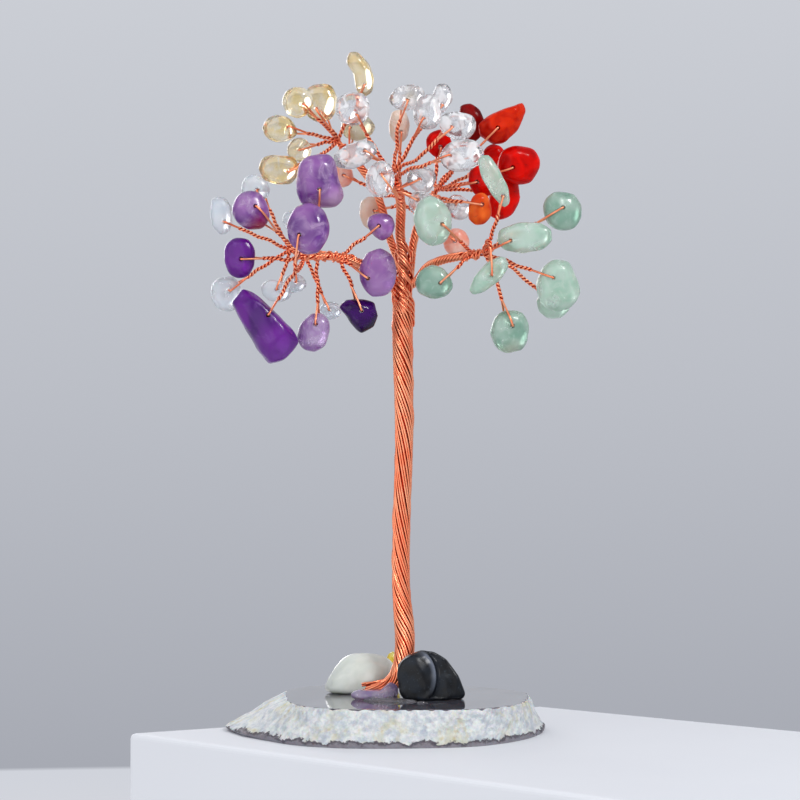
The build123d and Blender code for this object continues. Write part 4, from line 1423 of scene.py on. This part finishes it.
def round_face(mesh):
    """The step that sets off the round face on the black stone's front, and the painted highlight on
    its edge.
    """
    normals = [v.normal.copy() for v in mesh.vertices]
    edge_highlights = []
    for v, normal in zip(mesh.vertices, normals):
        right = (v.co.x / MM - FACE_MIDDLE[0]) / FACE_HALF[0]
        up = (v.co.z / MM - FACE_MIDDLE[1]) / FACE_HALF[1]
        away = math.hypot(right, up)
        facing = max(0, -normal.y) * min(1, max(0, 2 * right))
        v.co -= normal * FACE_STEP * facing * np.interp(away, *FACE_FALL) * MM
        # The painted highlight: strongest on the upper right of the face's edge, where it faces
        # front.
        edge_highlights.append(facing * np.interp(away, *FACE_HIGHLIGHT) * min(1, max(0, 0.7 + up)))
    mesh.attributes.new("scuff", "FLOAT", "POINT").data.foreach_set("value", edge_highlights)


def foot_stone(node, name, slot, rounds, dent_depth, material):
    """A tumbled stone glued on the slice, worn from its faceted solid."""
    worn = tumbled(name, welded(node), rounds, dent_depth, FOOT_DENT_WIDTH, len(name))
    if node == "black_tumbled_stone":
        round_face(worn)
    if node == "amethyst_foot_stone":
        for v in worn.vertices:
            v.co.z = min(v.co.z, np.interp(v.co.x / MM, *FOOT_STONE_DIP) * MM)
    worn.shade_smooth()
    worn.materials.clear()
    worn.materials.append(material)
    piece = linked(name, worn)
    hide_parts(node)
    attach(piece, "tree")


def foot():
    """The slice, the stones that are glued on it and the glue."""
    agate_slice(agate_polish(), agate_crust())
    pale = ((184, 158, 210), (212, 196, 230), (238, 232, 246))
    pale_violet = gem("amethyst_foot", pale, 2.6, 0.60)
    yellow = gem("citrine_foot", ((250, 214, 30), (254, 234, 80), (255, 246, 170)), 2.4, 0.30)
    materials = (milky_white(), black_polish(), pale_violet, yellow)
    for row, material in zip(FOOT_STONES, materials):
        foot_stone(*row, material)
    clear = clear_glue()
    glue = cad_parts["glue_pad"]
    glue.data.materials.clear()
    glue.data.materials.append(clear)
    glue_beads(clear)


def glue_beads(material):
    """Drops of glue that were pressed out at the stones' feet."""
    shape = bmesh.new()
    for u, v, half in GLUE_BEADS:
        x, y = level_place(u, v, SLICE_TOP)
        made = bmesh.ops.create_icosphere(shape, subdivisions=3, radius=MM)
        for corner in made["verts"]:
            right, back, up = corner.co
            up = max(0, up) * BEAD_HEIGHT * min(half, 1)
            corner.co = (right * half + x * MM, back * BEAD_DEPTH + y * MM, up + SLICE_TOP * MM)
    mesh = meshed("glue_beads", shape)
    mesh.shade_smooth()
    mesh.materials.append(material)
    piece = linked("glue_beads", mesh)
    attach(piece, "tree")


# The set

# Points of the pale block's top edges in the view from the front: its left and its back corner,
# then one on the edge that runs right from the back corner and one on the front edge.
BLOCK_POINTS = ((128, 733), (540, 706), (800, 731), (620, 800))
# How far those two edges run on, in shares of what the points show.
BLOCK_RIGHT = 2.6
BLOCK_FRONT = 2.0
BLOCK_DEPTH = 160
BLOCK_EDGE = 1.2
# The camera's film, and the place that the lamps point at.
SENSOR = 36
LAMP_AIM = (0, 0, 70)
# Each lamp's name, place, width and power.
LAMPS = (
    ("key", (380, -360, 460), 150, 1.8),
    ("fill", (-400, -640, 140), 1600, 4.9),
    ("rim", (-220, 400, 220), 240, 0.5),
)
# The grey of the backdrop, from below the horizon to above it.
BACKDROP_HEIGHT = 0.16
BACKDROP_STOPS = (
    (0.0, tone(212, 214, 221)),
    (0.079, tone(208, 211, 219)),
    (0.082, tone(167, 170, 179)),
    (0.50, tone(187, 190, 198)),
    (1.0, tone(204, 207, 214)),
)


def pale_block():
    """The pale block that the ornament stands on, with softly rounded edges."""
    left, back, side, near = (np.array(level_place(u, v, 0)) for u, v in BLOCK_POINTS)
    right = back + BLOCK_RIGHT * (side - back)
    front = left + BLOCK_FRONT * (near - left)
    corners = [place * MM for place in (left, front, right, back)]
    shape = bmesh.new()
    lower = [shape.verts.new((x, y, -BLOCK_DEPTH * MM)) for x, y in corners]
    upper = [shape.verts.new((x, y, 0.0)) for x, y in corners]
    shape.faces.new(upper)
    shape.faces.new(lower[::-1])
    ringed(shape, lower, upper)
    bmesh.ops.recalc_face_normals(shape, faces=shape.faces)
    mesh = meshed("pale_block", shape)
    mesh.materials.append(pale_floor())
    made = linked("pale_block", mesh)
    edge = made.modifiers.new("edge", "BEVEL")
    edge.width = BLOCK_EDGE * MM
    edge.segments = 4


def lamp(name, place, width, power):
    light = bpy.data.lights.new(name, "AREA")
    light.shape = "DISK"
    light.size = width * MM
    light.energy = power
    made = linked(name, light)
    made.location = Vector(place) * MM
    ahead = Vector(LAMP_AIM) - Vector(place)
    made.rotation_euler = ahead.to_track_quat("-Z", "Y").to_euler()


def surroundings():
    """A plain pale room as light, and a grey gradient where it is looked at or mirrored."""
    world = bpy.data.worlds.new("studio")
    bpy.context.scene.world = world
    world.use_nodes = True
    world.node_tree.nodes.clear()
    room = Nodes(world.node_tree)
    around = room.node("ShaderNodeTexCoord", {}, {})
    height = room.node("ShaderNodeSeparateXYZ", {}, {0: around}, output=2)
    sockets = {"Value": height, "From Min": -BACKDROP_HEIGHT, "From Max": BACKDROP_HEIGHT}
    share = room.node("ShaderNodeMapRange", {}, sockets)
    grey = room.node("ShaderNodeValToRGB", {"stops": BACKDROP_STOPS}, {"Fac": share})
    shown = room.node("ShaderNodeBackground", {}, {"Color": grey})
    pale = {"Color": tone(232, 235, 242), "Strength": 0.50}
    light = room.node("ShaderNodeBackground", {}, pale)
    rays = ("Is Camera Ray", "Is Glossy Ray", "Is Transmission Ray")
    looked, mirrored, through = (room.node("ShaderNodeLightPath", {}, {}, ray) for ray in rays)
    either = looked.maths("MAXIMUM", mirrored).maths("MAXIMUM", through)
    both = room.node("ShaderNodeMixShader", {}, {0: either, 1: light, 2: shown})
    room.feed(room.nodes.new("ShaderNodeOutputWorld").inputs["Surface"], both)


def studio():
    """The view from the front and its lamps."""
    camera = bpy.data.cameras.new("camera")
    camera.sensor_width = SENSOR
    camera.lens = FOCUS * SENSOR / (2 * VIEW_MIDDLE)
    camera.clip_start = 0.01
    made = linked("camera", camera)
    made.location = EYE * MM
    made.rotation_euler = (math.radians(90), 0, 0)
    bpy.context.scene.camera = made
    for row in LAMPS:
        lamp(*row)
    bpy.context.scene.view_settings.view_transform = "Standard"


copper = copper_wire()
shaded_core = copper_core()
studio()
surroundings()
pale_block()
foot()
trunk_wires(copper, shaded_core)
crown(copper, shaded_core)
